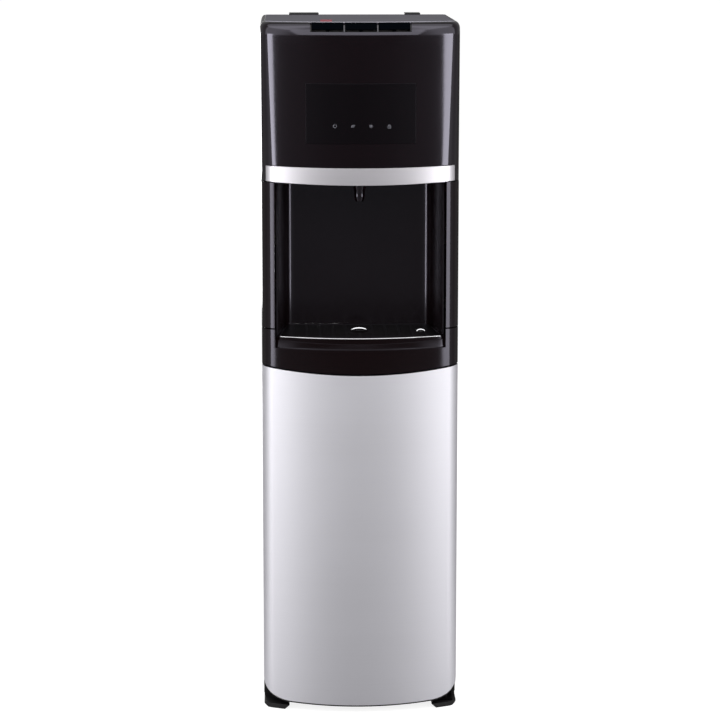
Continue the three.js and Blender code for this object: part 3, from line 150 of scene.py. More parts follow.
unseen = mirrored * reflected + through + (1 - mirrored) * (1 - through) * ROOM_LIGHT
sky.feed(seen + (1 - seen) * unseen, air.inputs["Strength"])

floor_material = bpy.data.materials.new("pale_floor")
floor_material.use_nodes = True
floor_tree = floor_material.node_tree
cove = Wire(floor_tree)
matt = floor_tree.nodes["Principled BSDF"]
matt.inputs["Roughness"].default_value = 0.9
matt.inputs["Specular IOR Level"].default_value = 0.1
dust = cove.node("TexNoise", {}, {"Scale": 3.0, "Detail": 4.0})
cove.feed(cove.node("MixRGB", {}, {0: dust, 1: (0.87, 0.87, 0.87, 1), 2: (0.89, 0.89, 0.89, 1)}),
          matt.inputs["Base Color"])
spot = cove.node("TexCoord", out="Object")
off = abs(cove.node("SeparateXYZ", {}, {0: spot}, out="X"))
ahead = cove.node("SeparateXYZ", {}, {0: spot}, out="Y")
far = (off ** 2 + ahead ** 2 + 0.01) ** 0.5
beside = cove.node("ValToRGB", {"stops": [(0.0, 0.022), (0.3, 0.042), (0.62, 0.11), (0.75, 0.17),
                                          (0.95, 0.70)]}, {0: off / far})
behind = eased_ramp(cove, ahead / far, -0.5, 0.1, 1.0, 0.35)
shown = cove.node("LightPath", out="Is Camera Ray")
mirrored = cove.node("LightPath", out="Is Glossy Ray")
glow = shown * 1.25 + (1 - shown) * beside * behind
plain = cove.node("Emission", {}, {"Color": cove.node("MixRGB", {}, {
    0: glow * 0.8, 1: (0, 0, 0, 1), 2: (1, 1, 1, 1)}), "Strength": 1.37})
both = cove.node("MixShader", {}, {0: shown * 0.62 + mirrored * 0.85,
                                   1: Wire(floor_tree, matt.outputs[0]), 2: plain})
cove.feed(both, floor_tree.nodes["Material Output"].inputs[0])
bm = bmesh.new()
bmesh.ops.create_grid(bm, x_segments=2, y_segments=2, size=40)
floor_mesh = bpy.data.meshes.new("floor")
bm.to_mesh(floor_mesh)
bm.free()
floor = bpy.data.objects.new("floor", floor_mesh)
floor.data.materials.append(floor_material)
scene.collection.objects.link(floor)

for name, place, towards, wide, tall, power in (
        ("left", (-2.1, -1.45, 0.74), (0, 0, 0.74), 0.6, 1.3, 17),
        ("right", (2.1, -1.45, 0.74), (0, 0, 0.74), 0.6, 1.3, 15),
        ("top", (0, -0.8, 3.0), (0, -0.3, 0.9), 3.6, 2.2, 27),
        ("front", (0, -2.85, 2.36), (0, -0.17, 1.05), 4.4, 2.1, 54),
        ("back", (-0.8, 2.7, 0.62), (0, 0.2, 0.6), 2.2, 0.8, 26)):
    lamp = bpy.data.lights.new("soft_box_" + name, "AREA")
    lamp.shape = "RECTANGLE"
    lamp.size, lamp.size_y, lamp.energy = wide, tall, power
    stand = bpy.data.objects.new("soft_box_" + name, lamp)
    stand.location = place
    stand.rotation_euler = (Vector(towards) - Vector(place)).to_track_quat("-Z", "Y").to_euler()
    scene.collection.objects.link(stand)


# ---- Door skin ----
# One sheet of brushed stainless steel, a millimetre thick, rolled round the door's curved front
# and both its edges, with its lower corners cut round. It is clipped over the moulded door.
# Radii of the bow and of its corners, half the cooler's width, and where its front stands.
BOW, CORNER, HALF, FRONT = 330, 30, 155, -180
HINGE = Vector((137, -122.718, 0))
# Where the sheet's edges end, how far its right edge turns in round the hinge, and its thickness.
SHEET_BACK, HINGE_WRAP, DOOR_WALL = -114.7, asin(8 / 18), 1.0
# The heights of its two edges at the middle, how far each climbs to the sides, and the cut corners.
DOOR_FOOT, DOOR_TOP, FOOT_CLIMB, SEAM_CLIMB = 12.5, 546.5, 5, 10.5
CUT_START, CUT_HIGH = 113, 28


def moved(made):
    """The points among what an operator has made."""
    return [part for part in made if isinstance(part, bmesh.types.BMVert)]


def spun(bm, point, centre, angle, steps):
    """Draws an arc from a point, about an upright axis, and returns the point at its end."""
    made = bmesh.ops.spin(bm, geom=[point], cent=(centre[0], centre[1], point.co.z),
                          axis=(0, 0, 1), angle=angle, steps=steps)
    return moved(made["geom_last"])[0]


def drawn(bm, point, x, y):
    """Draws a straight edge from a point to a place at the same height."""
    point = bmesh.ops.extrude_vert_indiv(bm, verts=[point])["verts"][0]
    point.co = (x, y, point.co.z)
    return point


def front_line(bm, z=0, start=None, end=None, inset=0, corner=CORNER, front=FRONT, side=HALF,
               fine=(12, 36)):
    """Draws the cooler's curved front in plan, from its left side round to its right side."""
    centre_x, centre_y = side - corner, front + BOW
    turn_y = centre_y - sqrt((BOW - corner) ** 2 - centre_x ** 2)
    spread = asin(centre_x / (BOW - corner))
    first = Vector((-side + inset, turn_y if start is None else start, z))
    point = bmesh.ops.create_vert(bm, co=first)["vert"][0]
    if start is not None:
        point = drawn(bm, point, -side + inset, turn_y)
    point = spun(bm, point, (-centre_x, turn_y), pi / 2 - spread, fine[0])
    point = spun(bm, point, (0, centre_y), 2 * spread, fine[1])
    point = spun(bm, point, (centre_x, turn_y), pi / 2 - spread, fine[0])
    if end is not None:
        point = drawn(bm, point, side - inset, end)
    return point


def climbing(height, lift):
    """The height, at any place across the front, of a seam that climbs towards the sides."""
    return lambda x: height + lift * (x / HALF) ** 2


def lifted(verts, height):
    """Sets points to a height, which may be the same all over or vary across the front."""
    for vert in verts:
        vert.co.z = height(vert.co.x) if callable(height) else height


def raised(bm, height):
    """Draws an outline up into a sheet."""
    lifted(moved(bmesh.ops.extrude_edge_only(bm, edges=bm.edges)["geom"]), height)


def outward(bm, faces, core=(0, 0)):
    """Turns the faces of a sheet so that they look away from an upright line inside the cooler."""
    turned = [face for face in faces
              if (face.calc_center_median().xy - Vector(core)).dot(face.normal.xy) < 0]
    bmesh.ops.reverse_faces(bm, faces=turned)


def settled(name, bm, material, body, *stands_for, slot, smooth=32, core=None, weld=True):
    """Turns a mesh drawn in millimetres into a piece of the model that rides on a body.

    A closed mesh has its normals worked out anew, a sheet is turned away from its core, and one
    whose core is "kept" already faces the right way.
    """
    if weld:
        bmesh.ops.remove_doubles(bm, verts=bm.verts, dist=0.001)
    bm.normal_update()
    if core is None:
        bmesh.ops.recalc_face_normals(bm, faces=bm.faces)
    elif core != "kept":
        outward(bm, bm.faces, core)
    bmesh.ops.scale(bm, vec=(0.001, 0.001, 0.001), verts=bm.verts)
    mesh = bpy.data.meshes.new(name)
    bm.to_mesh(mesh)
    bm.free()
    mesh.polygons.foreach_set("use_smooth", [True] * len(mesh.polygons))
    mesh.set_sharp_from_angle(angle=radians(smooth))
    piece = bpy.data.objects.new(name, mesh)
    mesh.materials.append(material)
    scene.collection.objects.link(piece)
    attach(piece, body)
    if stands_for:
        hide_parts(*stands_for)
    return piece


def thickened(piece, wall, edge=0.0, segments=2):
    """Gives a sheet its thickness, inwards, and eases its edges."""
    solid = piece.modifiers.new("wall", "SOLIDIFY")
    solid.thickness, solid.offset, solid.use_even_offset = wall / 1000, -1, True
    if edge:
        eased(piece, edge, segments)


def eased(piece, edge, segments=2, angle=40):
    """Rounds the edges of a piece that are sharper than an angle."""
    ease = piece.modifiers.new("edges", "BEVEL")
    ease.width, ease.segments, ease.limit_method = edge / 1000, segments, "ANGLE"
    ease.angle_limit, ease.harden_normals, ease.use_clamp_overlap = radians(angle), True, True


def finish(name, color, roughness, metallic=0.0, specular=0.5, tint=(1, 1, 1)):
    """A material with plain constants on its shader; the pattern is wired in afterwards."""
    material = bpy.data.materials.new(name)
    material.use_nodes = True
    shader = material.node_tree.nodes["Principled BSDF"]
    shader.inputs["Base Color"].default_value = (*color, 1)
    shader.inputs["Roughness"].default_value = roughness
    shader.inputs["Metallic"].default_value = metallic
    shader.inputs["Specular IOR Level"].default_value = specular
    shader.inputs["Specular Tint"].default_value = (*tint, 1)
    return material, shader, Wire(material.node_tree)


def toned(wire, shader, color, fade, mask):
    """Lets a colour drift between itself and a darker shade, as a mask says."""
    dark = tuple(fade * c for c in color)
    wire.feed(wire.node("MixRGB", {}, {0: mask, 1: (*dark, 1), 2: (*color, 1)}),
              shader.inputs["Base Color"])


def bumped(wire, shader, strength, distance, height):
    """Lets a pattern stand out of the surface, by a distance in metres."""
    wire.feed(wire.node("Bump", {}, {"Strength": strength, "Distance": distance, "Height": height}),
              shader.inputs["Normal"])


def noise(wire, place, scale, detail, **more):
    return wire.node("TexNoise", {}, {"Vector": place, "Scale": scale, "Detail": detail, **more})


def brushed(name, color, roughness):
    """Steel with a fine grain: long scratches along X and Y, close together up the sheet."""
    material, shader, wire = finish(name, color, roughness, metallic=1.0)
    place = wire.node("TexCoord", out="Object")
    stretched = wire.node("Mapping", {}, {"Vector": place, "Scale": (2.0, 2.0, 900.0)})
    scratch = noise(wire, stretched, 1.0, 6.0, Roughness=0.7)
    broad = noise(wire, place, 6.0, 2.0)
    toned(wire, shader, color, 0.94, scratch)
    wire.feed(roughness - 0.06 + 0.12 * scratch + 0.04 * broad, shader.inputs["Roughness"])
    bumped(wire, shader, 0.10, 0.00004, scratch)
    return material


door_steel = brushed("door_steel", (0.84, 0.83, 0.88), 0.54)
bm = bmesh.new()
end = front_line(bm, start=SHEET_BACK)
spun(bm, end, HINGE, HINGE_WRAP, 4)


def door_foot(x):
    """The door's lower edge, which curves up and round at both corners."""
    turn = min(1.0, max(0.0, (abs(x) - CUT_START) / (HALF - CUT_START)))
    return DOOR_FOOT + FOOT_CLIMB * (x / HALF) ** 2 + CUT_HIGH * (1 - sqrt(1 - turn ** 2))


lifted(bm.verts, door_foot)
raised(bm, climbing(DOOR_TOP, SEAM_CLIMB))
door_skin = settled("door_sheet", bm, door_steel, "door", "door_skin", slot="brushed_steel",
                    core=(0, -60))
thickened(door_skin, DOOR_WALL, 0.3)


# ---- Door liner ----
# The moulded inner door in satin black plastic: it fills the sheet's front, shows as a lip below
# it, and is hollowed behind to take the belly of the bottle. The sheet clips over its edges.
def moulded(name, color, roughness, grain=900.0, depth=0.03, specular=0.5, fade=0.85):
    """Moulded plastic: a faint drift in shade, and the fine texture of the mould in the light."""
    material, shader, wire = finish(name, color, roughness, specular=specular)
    place = wire.node("TexCoord", out="Object")
    drift = noise(wire, place, 9.0, 3.0)
    grit = noise(wire, place, grain, 2.0)
    toned(wire, shader, color, fade, drift)
    wire.feed(roughness * (0.82 + 0.28 * drift + 0.08 * grit), shader.inputs["Roughness"])
    bumped(wire, shader, depth, 0.0001, grit)
    return material


def copied(node):
    """A copy of a solid, in millimetres, with its loose triangles joined."""
    bm = bmesh.new()
    bm.from_mesh(nodes[node].data)
    bmesh.ops.scale(bm, vec=(1000, 1000, 1000), verts=bm.verts)
    bmesh.ops.remove_doubles(bm, verts=bm.verts, dist=0.002)
    return bm


def flattened(bm):
    """Merges the triangles of each flat face."""
    bmesh.ops.dissolve_limit(bm, angle_limit=radians(0.6), use_dissolve_boundaries=False,
                             verts=bm.verts, edges=bm.edges)
    return bm


def softened(name, node, material, body, edge=0.4, segments=2, *, slot, smooth=32):
    """A finer copy of a solid: its flat faces merged and its sharp edges eased."""
    bm = flattened(copied(node))
    piece = settled(name, bm, material, body, node, smooth=smooth, slot=slot)
    eased(piece, edge, segments, 35)
    return piece


satin_black = moulded("satin_black", (0.010, 0.009, 0.010), 0.42, grain=1400, depth=0.25,
                      specular=0.4)
softened("door_inner", "door_liner", satin_black, "door", 0.6, slot="satin_black")


# ---- Door gasket ----
# A soft rubber frame, pressed into a groove round the liner's hollow. It closes the gap to the
# cabinet when the door is shut.
gasket_black = moulded("gasket_black", (0.014, 0.014, 0.015), 0.7, grain=260, depth=0.4)
LOW, HIGH = Vector((-131, 44)), Vector((131, 531))
GASKET_WIDE, GASKET_TURN, GASKET_FRONT, GASKET_DEEP = 5.0, 24.0, -104.5, 2.6
bm = bmesh.new()
for inset in (0.0, GASKET_WIDE):
    radius = GASKET_TURN - inset
    point = bmesh.ops.create_vert(bm, co=(LOW.x + GASKET_TURN, LOW.y + inset, 0))["vert"][0]
    for x, y, aside, up in ((HIGH.x - GASKET_TURN, LOW.y + GASKET_TURN, 0, -1),
                            (HIGH.x - GASKET_TURN, HIGH.y - GASKET_TURN, 1, 0),
                            (LOW.x + GASKET_TURN, HIGH.y - GASKET_TURN, 0, 1),
                            (LOW.x + GASKET_TURN, LOW.y + GASKET_TURN, -1, 0)):
        point = drawn(bm, point, x + radius * aside, y + radius * up)
        point = spun(bm, point, (x, y), pi / 2, 8)
    bmesh.ops.remove_doubles(bm, verts=bm.verts, dist=0.01)
bmesh.ops.bridge_loops(bm, edges=bm.edges)
bmesh.ops.rotate(bm, verts=bm.verts, cent=(0, 0, 0), matrix=Matrix.Rotation(pi / 2, 3, "X"))
bmesh.ops.translate(bm, verts=bm.verts, vec=(0, GASKET_FRONT, 0))
made = bmesh.ops.extrude_face_region(bm, geom=list(bm.faces))["geom"]
bmesh.ops.translate(bm, verts=moved(made), vec=(0, GASKET_DEEP, 0))
eased(settled("door_gasket", bm, gasket_black, "door", slot="rubber_black"), 1.1, 3)


# ---- Door strike and catch ----
# A zinc-plated plate let into the door meets a magnetic catch in a white nylon case that hangs
# under the deck.
def plated(name, color, roughness, cloud=0.25):
    """Zinc plating: a dull metal with the faint clouds of its crystals."""
    material, shader, wire = finish(name, color, roughness, metallic=1.0)
    place = wire.node("TexCoord", out="Object")
    cells = wire.node("TexVoronoi", {"feature": "F1"}, {"Vector": place, "Scale": 140.0},
                      out="Distance")
    drift = noise(wire, place, 30.0, 4.0)
    toned(wire, shader, color, 1 - cloud, cells * 0.5 + drift * 0.5)
    wire.feed(roughness * (0.8 + 0.4 * drift), shader.inputs["Roughness"])
    return material


zinc = plated("zinc_plate", (0.60, 0.60, 0.58), 0.38)
nylon = moulded("white_nylon", (0.76, 0.75, 0.71), 0.45, grain=700, depth=0.1, fade=0.94)
softened("strike_plate", "door_strike", zinc, "door", 0.2, slot="zinc_plated")
softened("catch_case", "door_catch", nylon, "cabinet", 0.8, 3, slot="nylon_white")


# ---- Hinge brackets ----
# Pressed and folded plates in black passivated zinc, each with a riveted pin that stands in a hole
# of the door.
black_zinc = plated("black_zinc", (0.014, 0.013, 0.014), 0.45)
softened("hinge_plate_low", "lower_hinge_bracket", black_zinc, "cabinet", 0.3, slot="zinc_plated")
softened("hinge_plate_high", "upper_hinge_bracket", black_zinc, "cabinet", 0.3, slot="zinc_plated")


# ---- Belt ----
# The gloss black moulding between the door and the niche. Its front leans back to a thin rim, and
# the drip tray drops into the well behind it.
def polished(name, color, roughness, specular=0.5, peel=0.02):
    """High-gloss black: the slight orange peel of a polished mould, and a trace of handling."""
    # The reflections are tinted lavender: a painted colour of the light, which the white lamps
    # don't give.
    material, shader, wire = finish(name, color, roughness, 0, specular, (0.87, 0.84, 1.0))
    place = wire.node("TexCoord", out="Object")
    wave = noise(wire, place, 70.0, 1.0)
    haze = noise(wire, place, 5.0, 5.0)
    toned(wire, shader, color, 0.8, haze)
    wire.feed(roughness * (0.6 + 0.8 * haze), shader.inputs["Roughness"])
    bumped(wire, shader, peel, 0.0004, wave)
    return material


# Where the front's mouldings meet the side panels, the wider corner of the head, the heights of the
# belt's underside, ledge, rim and shoulders, and half the width of the niche's mouth.
SEAM, WIDE_CORNER = -100.018, 38
BELT_FOOT, LEDGE, RIM, SHOULDER, MOUTH = 549.0, 587.0, 604.0, 616.5, 134


def outlined(bm, height, inset, start=SEAM, end=SEAM, **shape):
    """Draws the front's outline at a height, and returns its edges."""
    known = set(bm.edges)
    front_line(bm, 0, start, end, inset, **shape)
    edges = [edge for edge in bm.edges if edge not in known]
    lifted({vert for edge in edges for vert in edge.verts}, height)
    return edges


def skinned(bm, rows, start=SEAM, end=SEAM, **shape):
    """Bridges the front's outline at one height after another, and returns the sheet's faces."""
    below, faces = None, []
    for height, inset, *own in rows:
        edges = outlined(bm, height, inset, start, end, **{**shape, **(own[0] if own else {})})
        if below:
            faces += bmesh.ops.bridge_loops(bm, edges=below + edges)["faces"]
        below = edges
    return faces


def trimmed(bm, faces, co, no, drop=True):
    """Cuts a sheet along a plane, and drops what lies on the plane's far side."""
    parts = list({part for face in faces for part in (face, *face.edges, *face.verts)})
    left = bmesh.ops.bisect_plane(bm, geom=parts, dist=0.0001, plane_co=co, plane_no=no,
                                  clear_outer=drop)["geom"]
    return [part for part in left if isinstance(part, bmesh.types.BMFace) and part.is_valid]


def inset_of(x, y, corner=CORNER, front=FRONT, side=HALF):
    """How far a place lies inside the front's outline in plan, and the way out from there."""
    centre_x, centre_y = side - corner, front + BOW
    turn_y = centre_y - sqrt((BOW - corner) ** 2 - centre_x ** 2)
    if y > turn_y:
        return side - abs(x), Vector((1 if x > 0 else -1, 0, 0))
    bow = Vector((x, y - centre_y, 0))
    if abs(x) / bow.length < centre_x / (BOW - corner):
        return BOW - bow.length, bow.normalized()
    small = Vector((x - (centre_x if x > 0 else -centre_x), y - turn_y, 0))
    return corner - small.length, small.normalized()


def stripped(node, outside):
    """A copy of a solid without the faces that a finer sheet will stand for."""
    bm = copied(node)
    bm.normal_update()
    gone = [face for face in bm.faces if outside(face.calc_center_median(), face.normal, face)]
    bmesh.ops.delete(bm, geom=gone, context="FACES")
    return flattened(bm)


def added(bm, other):
    """Takes the faces of one mesh into another."""
    mesh = bpy.data.meshes.new("other")
    other.to_mesh(mesh)
    other.free()
    bm.from_mesh(mesh)
    bpy.data.meshes.remove(mesh)


def joined(bm, sheets, core=(0, 0)):
    """Adds finer sheets to a copied solid, with their faces turned outwards."""
    for sheet in sheets:
        sheet.normal_update()
        outward(sheet, sheet.faces, core)
        added(bm, sheet)


def dropped(bm, faces, gone):
    """Takes away the faces whose middle passes a test."""
    bmesh.ops.delete(bm, geom=[face for face in faces if gone(*face.calc_center_median())],
                     context="FACES")


gloss_black = polished("gloss_black", (0.0038, 0.0014, 0.0014), 0.11, specular=0.36)


def belt_face(centre, normal, face):
    """Whether a face of the belt's solid is part of its front or its underside."""
    out = inset_of(centre.x, centre.y)[1]
    depth = max(inset_of(vert.co.x, vert.co.y)[0] for vert in face.verts)
    if normal.z < -0.5 and centre.z < BELT_FOOT + 13:
        return True
    return centre.z < SHOULDER - 0.1 and normal.dot(out) > 0.5 and (
        depth < 0.8 or (depth < 9.5 and abs(centre.x) < MOUTH and centre.z > LEDGE - 1))


bm = stripped("tray_housing", belt_face)
lower = bmesh.new()
underside = climbing(BELT_FOOT, SEAM_CLIMB)
skinned(lower, [(underside, 0.5), (climbing(BELT_FOOT + 0.15, SEAM_CLIMB), 0.15),
                (climbing(BELT_FOOT + 0.5, SEAM_CLIMB), 0.0), (LEDGE, 0.0)])
made = bmesh.ops.extrude_edge_only(lower, edges=outlined(lower, underside, 0.5))["geom"]
for vert in moved(made):
    vert.co.y = SEAM

# The underside is open where the upper hinge bracket stands, so that the door can swing.
POCKET_LEFT, POCKET_RIGHT, POCKET_FRONT = 119, 152, -138.7
belly = [face for face in lower.faces
         if all(vert.co.z <= underside(vert.co.x) + 0.01 for vert in face.verts)]
for co, no in (((POCKET_LEFT, 0, 0), (1, 0, 0)), ((POCKET_RIGHT, 0, 0), (1, 0, 0)),
               ((0, POCKET_FRONT, 0), (0, 1, 0))):
    belly = trimmed(lower, belly, co, no, drop=False)
dropped(lower, belly, lambda x, y, z: POCKET_LEFT < x < POCKET_RIGHT and y > POCKET_FRONT)


def step(above):
    """The height of the step across the sloping front, which climbs a little at both ends."""
    return lambda x: 595.0 + above + 4.5 * (x / MOUTH) ** 2


lip = bmesh.new()
faces = skinned(lip, [
    (LEDGE, 0), (587.15, 0.15), (587.4, 4.6), (588.0, 5.1), (591, 5.7), (step(0), 6.5),
    (step(0.1), 6.7), (step(0.15), 8.1), (step(0.3), 8.25), (step(0.6), 8.3), (603.5, 8.3),
    (603.9, 8.4), (RIM, 8.6), (RIM, 11.0)])
for side in (1, -1):
    faces = trimmed(lip, faces, (MOUTH * side, 0, 0), (side, 0, 0))
for side in (1, -1):
    corners = [bmesh.ops.create_vert(lip, co=(134.04 * side, y, z))["vert"][0]
               for y, z in ((-151.2, 586.9), (-138, 586.9), (-138, 604.2), (-151.2, 604.2))]
    bmesh.ops.contextual_create(lip, geom=corners)
cheeks = bmesh.new()
skinned(cheeks, [(LEDGE, 0.0), (616.2, 0.0), (SHOULDER, 0.3)])
trimmed(cheeks, list(cheeks.faces), (0, 0, 0), (0, 0, 1), drop=False)
for side in (1, -1):
    trimmed(cheeks, list(cheeks.faces), (MOUTH * side, 0, 0), (side, 0, 0), drop=False)
dropped(cheeks, cheeks.faces, lambda x, y, z: abs(x) < MOUTH)
joined(bm, [lower, lip, cheeks], (0, -60))
settled("belt_moulding", bm, gloss_black, "cabinet", "tray_housing", slot="gloss_black",
        core="kept", smooth=13)


# ---- Rim strip ----
# A bright plated strip, let into the belt's rim along the front of the tray and held there by
# adhesive.
chrome, chrome_shader, chrome_wire = finish("bright_trim", (0.72, 0.72, 0.74), 0.16, metallic=1.0)
cloudy = noise(chrome_wire, chrome_wire.node("TexCoord", out="Object"), 60.0, 3.0)
chrome_wire.feed(0.12 + 0.12 * cloudy, chrome_shader.inputs["Roughness"])
chrome_wire.feed(chrome_wire.node("MixRGB", {}, {
    0: cloudy, 1: (0.64, 0.64, 0.66, 1), 2: (0.76, 0.76, 0.78, 1)}),
    chrome_shader.inputs["Base Color"])
bm = bmesh.new()
skinned(bm, [(RIM, 8.7), (604.5, 8.75), (604.85, 9.0), (605.0, 9.5), (605.0, 10.2), (604.8, 10.7),
             (RIM, 10.8)])
for side in (1, -1):
    trimmed(bm, list(bm.faces), (126 * side, 0, 0), (side, 0, 0))
settled("belt_rim_strip", bm, chrome, "cabinet", slot="brushed_steel", core=(0, -60))


# ---- Posts ----
# Two gloss black corner mouldings that stand on the belt and carry the line of the head down. Each
# is a shell, clipped to the side panel behind it.
POST_FOOT, POST_TOP = 618.1, 847.7
for side, name in ((-1, "left"), (1, "right")):
    bm = bmesh.new()
    front_line(bm, POST_FOOT, start=SEAM)
    bmesh.ops.bisect_plane(bm, geom=[*bm.verts, *bm.edges], dist=0.0001, plane_co=(-MOUTH, 0, 0),
                           plane_no=(1, 0, 0), clear_outer=True)
    inner = max(bm.verts, key=lambda vert: vert.co.x)
    drawn(bm, inner, -MOUTH, SEAM)
    raised(bm, POST_TOP)
    bmesh.ops.scale(bm, vec=(-side, 1, 1), verts=bm.verts)
    post = settled("post_" + name, bm, gloss_black, "cabinet", name + "_post",
                   slot="gloss_black", core=(146 * side, -118))
    thickened(post, 3.0, 0.9, 4)


# ---- Niche liner ----
# A vacuum-formed tub in gloss black, with rounded rear corners, that lines the dispensing niche. It
# stands on the belt, and a flange behind the trim band holds it.
niche_black = polished("niche_black", (0.0040, 0.0012, 0.0016), 0.20, specular=0.85)
NICHE_BACK, NICHE_FRONT, NICHE_TURN, NICHE_DRAW = -10.0, -133.0, 16.0, 0.1053
NICHE_FOOT, NICHE_TOP, NICHE_HALF = 604.3, 847, 118


def niche_line(bm, z, inset=0.0):
    """Draws the niche in plan: in along its left side, round both rear corners and out again."""
    small = NICHE_TURN - inset
    middle = Vector((NICHE_HALF - NICHE_TURN, NICHE_BACK - NICHE_TURN, 0))
    reach = middle.x + small / cos(NICHE_DRAW)
    flare = (middle.y - NICHE_FRONT) * sin(NICHE_DRAW) / cos(NICHE_DRAW)
    point = bmesh.ops.create_vert(bm, co=(-reach - flare, NICHE_FRONT, z))["vert"][0]
    turn = Vector((small * cos(NICHE_DRAW), -small * sin(NICHE_DRAW)))
    point = drawn(bm, point, -middle.x - turn.x, middle.y + turn.y)
    point = spun(bm, point, (-middle.x, middle.y), -(pi / 2 + NICHE_DRAW), 14)
    point = drawn(bm, point, middle.x, point.co.y)
    point = spun(bm, point, (middle.x, middle.y), -(pi / 2 + NICHE_DRAW), 14)
    drawn(bm, point, reach + flare, NICHE_FRONT)


def tub_face(centre, normal, face):
    """Whether a face of the liner's solid is part of what is seen from the front."""
    if centre.z <= RIM or centre.z >= NICHE_TOP + 0.5 or abs(normal.z) > 0.5:
        return abs(centre.z - NICHE_TOP) < 1 and centre.y > NICHE_FRONT and normal.z < -0.5
    return Vector((centre.x, centre.y + 70)).dot(normal.xy) < 0 and centre.y > NICHE_FRONT + 0.5


bm = stripped("niche_liner", tub_face)
tub = bmesh.new()
below = None
for z, inset in ((NICHE_FOOT, 0), (835, 0), (841, 0.9), (845, 3.4), (846.6, 7), (NICHE_TOP, 12)):
    known = set(tub.edges)
    niche_line(tub, z, inset)
    edges = [edge for edge in tub.edges if edge not in known]
    if below:
        bmesh.ops.bridge_loops(tub, edges=below + edges)
    below = edges
walls = list(tub.faces)
ceiling = bmesh.ops.contextual_create(tub, geom=below)["faces"]
tub.normal_update()
outward(tub, walls, (0, -70))
bmesh.ops.reverse_faces(tub, faces=walls + [face for face in ceiling if face.normal.z > 0])
added(bm, tub)
settled("niche_tub", bm, niche_black, "cabinet", "niche_liner", slot="gloss_black", core="kept",
        weld=False)


# ---- Drip tray, grille and float ----
# A gloss black pan that lifts out, a slotted satin grille with a raised dome in front of the
# outlet, and the overflow float that shows through the grille's hole.
grille_black = moulded("grille_black", (0.003, 0.002, 0.002), 0.50, grain=1800, depth=0.4,
                       specular=0.12)
softened("tray_pan", "drip_tray", gloss_black, "tray", 0.5, 3, slot="gloss_black")
softened("tray_grille", "drip_grille", grille_black, "grille", 0.35, slot="satin_black")
softened("float_cap", "overflow_float", satin_black, "float", 0.4, 3, slot="satin_black")


def painted_highlight_crescent(name, body, middle, outer, inner):
    """A bright plated crescent round the back of a boss, which leans back and so catches the light:
    a painted highlight, standing for the light on the boss's rim.
    """
    bm = bmesh.new()
    for wide, high in (outer, inner):
        made = bmesh.ops.create_circle(bm, segments=48, radius=1)["verts"]
        bmesh.ops.scale(bm, verts=made, vec=(wide, high, 1))
    bmesh.ops.bisect_plane(bm, geom=[*bm.verts, *bm.edges], plane_co=(0, 0, 0),
                           plane_no=(0, 1, 0), clear_inner=True)
    bmesh.ops.bridge_loops(bm, edges=bm.edges)
    bmesh.ops.rotate(bm, verts=bm.verts, cent=(0, 0, 0),
                     matrix=Matrix.Rotation(radians(68), 3, "X"))
    made = bmesh.ops.extrude_face_region(bm, geom=list(bm.faces))["geom"]
    bmesh.ops.translate(bm, verts=moved(made), vec=(0, 0.9, 0))
    bmesh.ops.translate(bm, verts=bm.verts, vec=middle)
    eased(settled(name, bm, chrome, body, slot="brushed_steel", smooth=40), 0.25, 2, 50)


# Painted highlights: plated crescents that stand for the light on the rims of the grille's dome and
# of the float's hole.
painted_highlight_crescent("dome_painted_highlight", "grille", (0, -74, 602.7), (12.8, 4.8), (10.8, 2.9))
painted_highlight_crescent("float_painted_highlight", "grille", (98, -86.5, 602.7), (7.0, 4.0), (5.3, 2.4))


# ---- Outlet ----
# The turned gloss black shroud that hangs from the niche's ceiling round the outlet. Its waist
# narrows to a short upright collar above the tip.
head_black = polished("head_black", (0.0026, 0.0006, 0.0010), 0.095, specular=0.78)
OUTLET_Y = -95


def turned(bm, profile, steps, y=0):
    """Spins a profile of radii and heights about an upright axis."""
    points = [bmesh.ops.create_vert(bm, co=(r, y, h))["vert"][0] for r, h in profile]
    for first, second in zip(points, points[1:]):
        bmesh.ops.contextual_create(bm, geom=[first, second])
    bmesh.ops.spin(bm, geom=[*bm.verts, *bm.edges], cent=(0, y, 0), axis=(0, 0, 1), angle=2 * pi,
                   steps=steps, use_merge=True)


bm = bmesh.new()
turned(bm, [(0, 816), (5.2, 816), (5.5, 812.2), (5.7, 812), (6.2, 812), (6.6, 812.5), (7.9, 817.3),
            (8.3, 819.6), (8.4, 820.4), (8.4, 828.4), (8.7, 829.4), (9.6, 831), (11.4, 849.6),
            (12.2, 850.3), (15.2, 850.3), (15.5, 850.6), (15.5, 856), (0, 856)], 48, OUTLET_Y)
settled("outlet_shroud", bm, head_black, "cabinet", "nozzle", slot="gloss_black")


# ---- Trim band ----
# A strip of brushed stainless steel, let into the head's lower edge and rolled to the front's
# curve, with its edges eased.
band_steel = brushed("band_steel", (0.74, 0.72, 0.76), 0.42)
BAND_END, BAND_WALL = 147.5, 3.0
BAND_FOOT, BAND_TOP, FOOT_RISE, TOP_RISE = 845.0, 871.6, 4.5, 1.9
bm = bmesh.new()
front_line(bm, corner=WIDE_CORNER, fine=(14, 48))
for side in (1, -1):
    bmesh.ops.bisect_plane(bm, geom=[*bm.verts, *bm.edges], dist=0.0001, clear_outer=True,
                           plane_co=(BAND_END * side, 0, 0), plane_no=(side, 0, 0))
lifted(bm.verts, climbing(BAND_FOOT, FOOT_RISE))
raised(bm, climbing(BAND_TOP, TOP_RISE))
band = settled("band_strip", bm, band_steel, "cabinet", "trim_band", slot="brushed_steel",
               core=(0, 0))
thickened(band, BAND_WALL, 0.5, 3)


# ---- Head cover ----
# The gloss black front of the head, in one moulding: its corners widen downwards, and its upper
# edge leans back into a brow that holds the keys.
# Above the band its corners are widest up to WIDEST, and the brow is a quarter round from BROW up
# to TOP. The keys stand in a gap of the brow, and the window in an opening below them.
BROW, TOP, KEYS_HALF, KEYS_FOOT = 1074, 1095, 78, 1080.6
ARC = TOP - BROW
HEAD_FOOT, WIDEST = 872.25, 873.6
WINDOW_HALF, WINDOW_FOOT, WINDOW_TOP = 85.3, 909.2, 1002.3


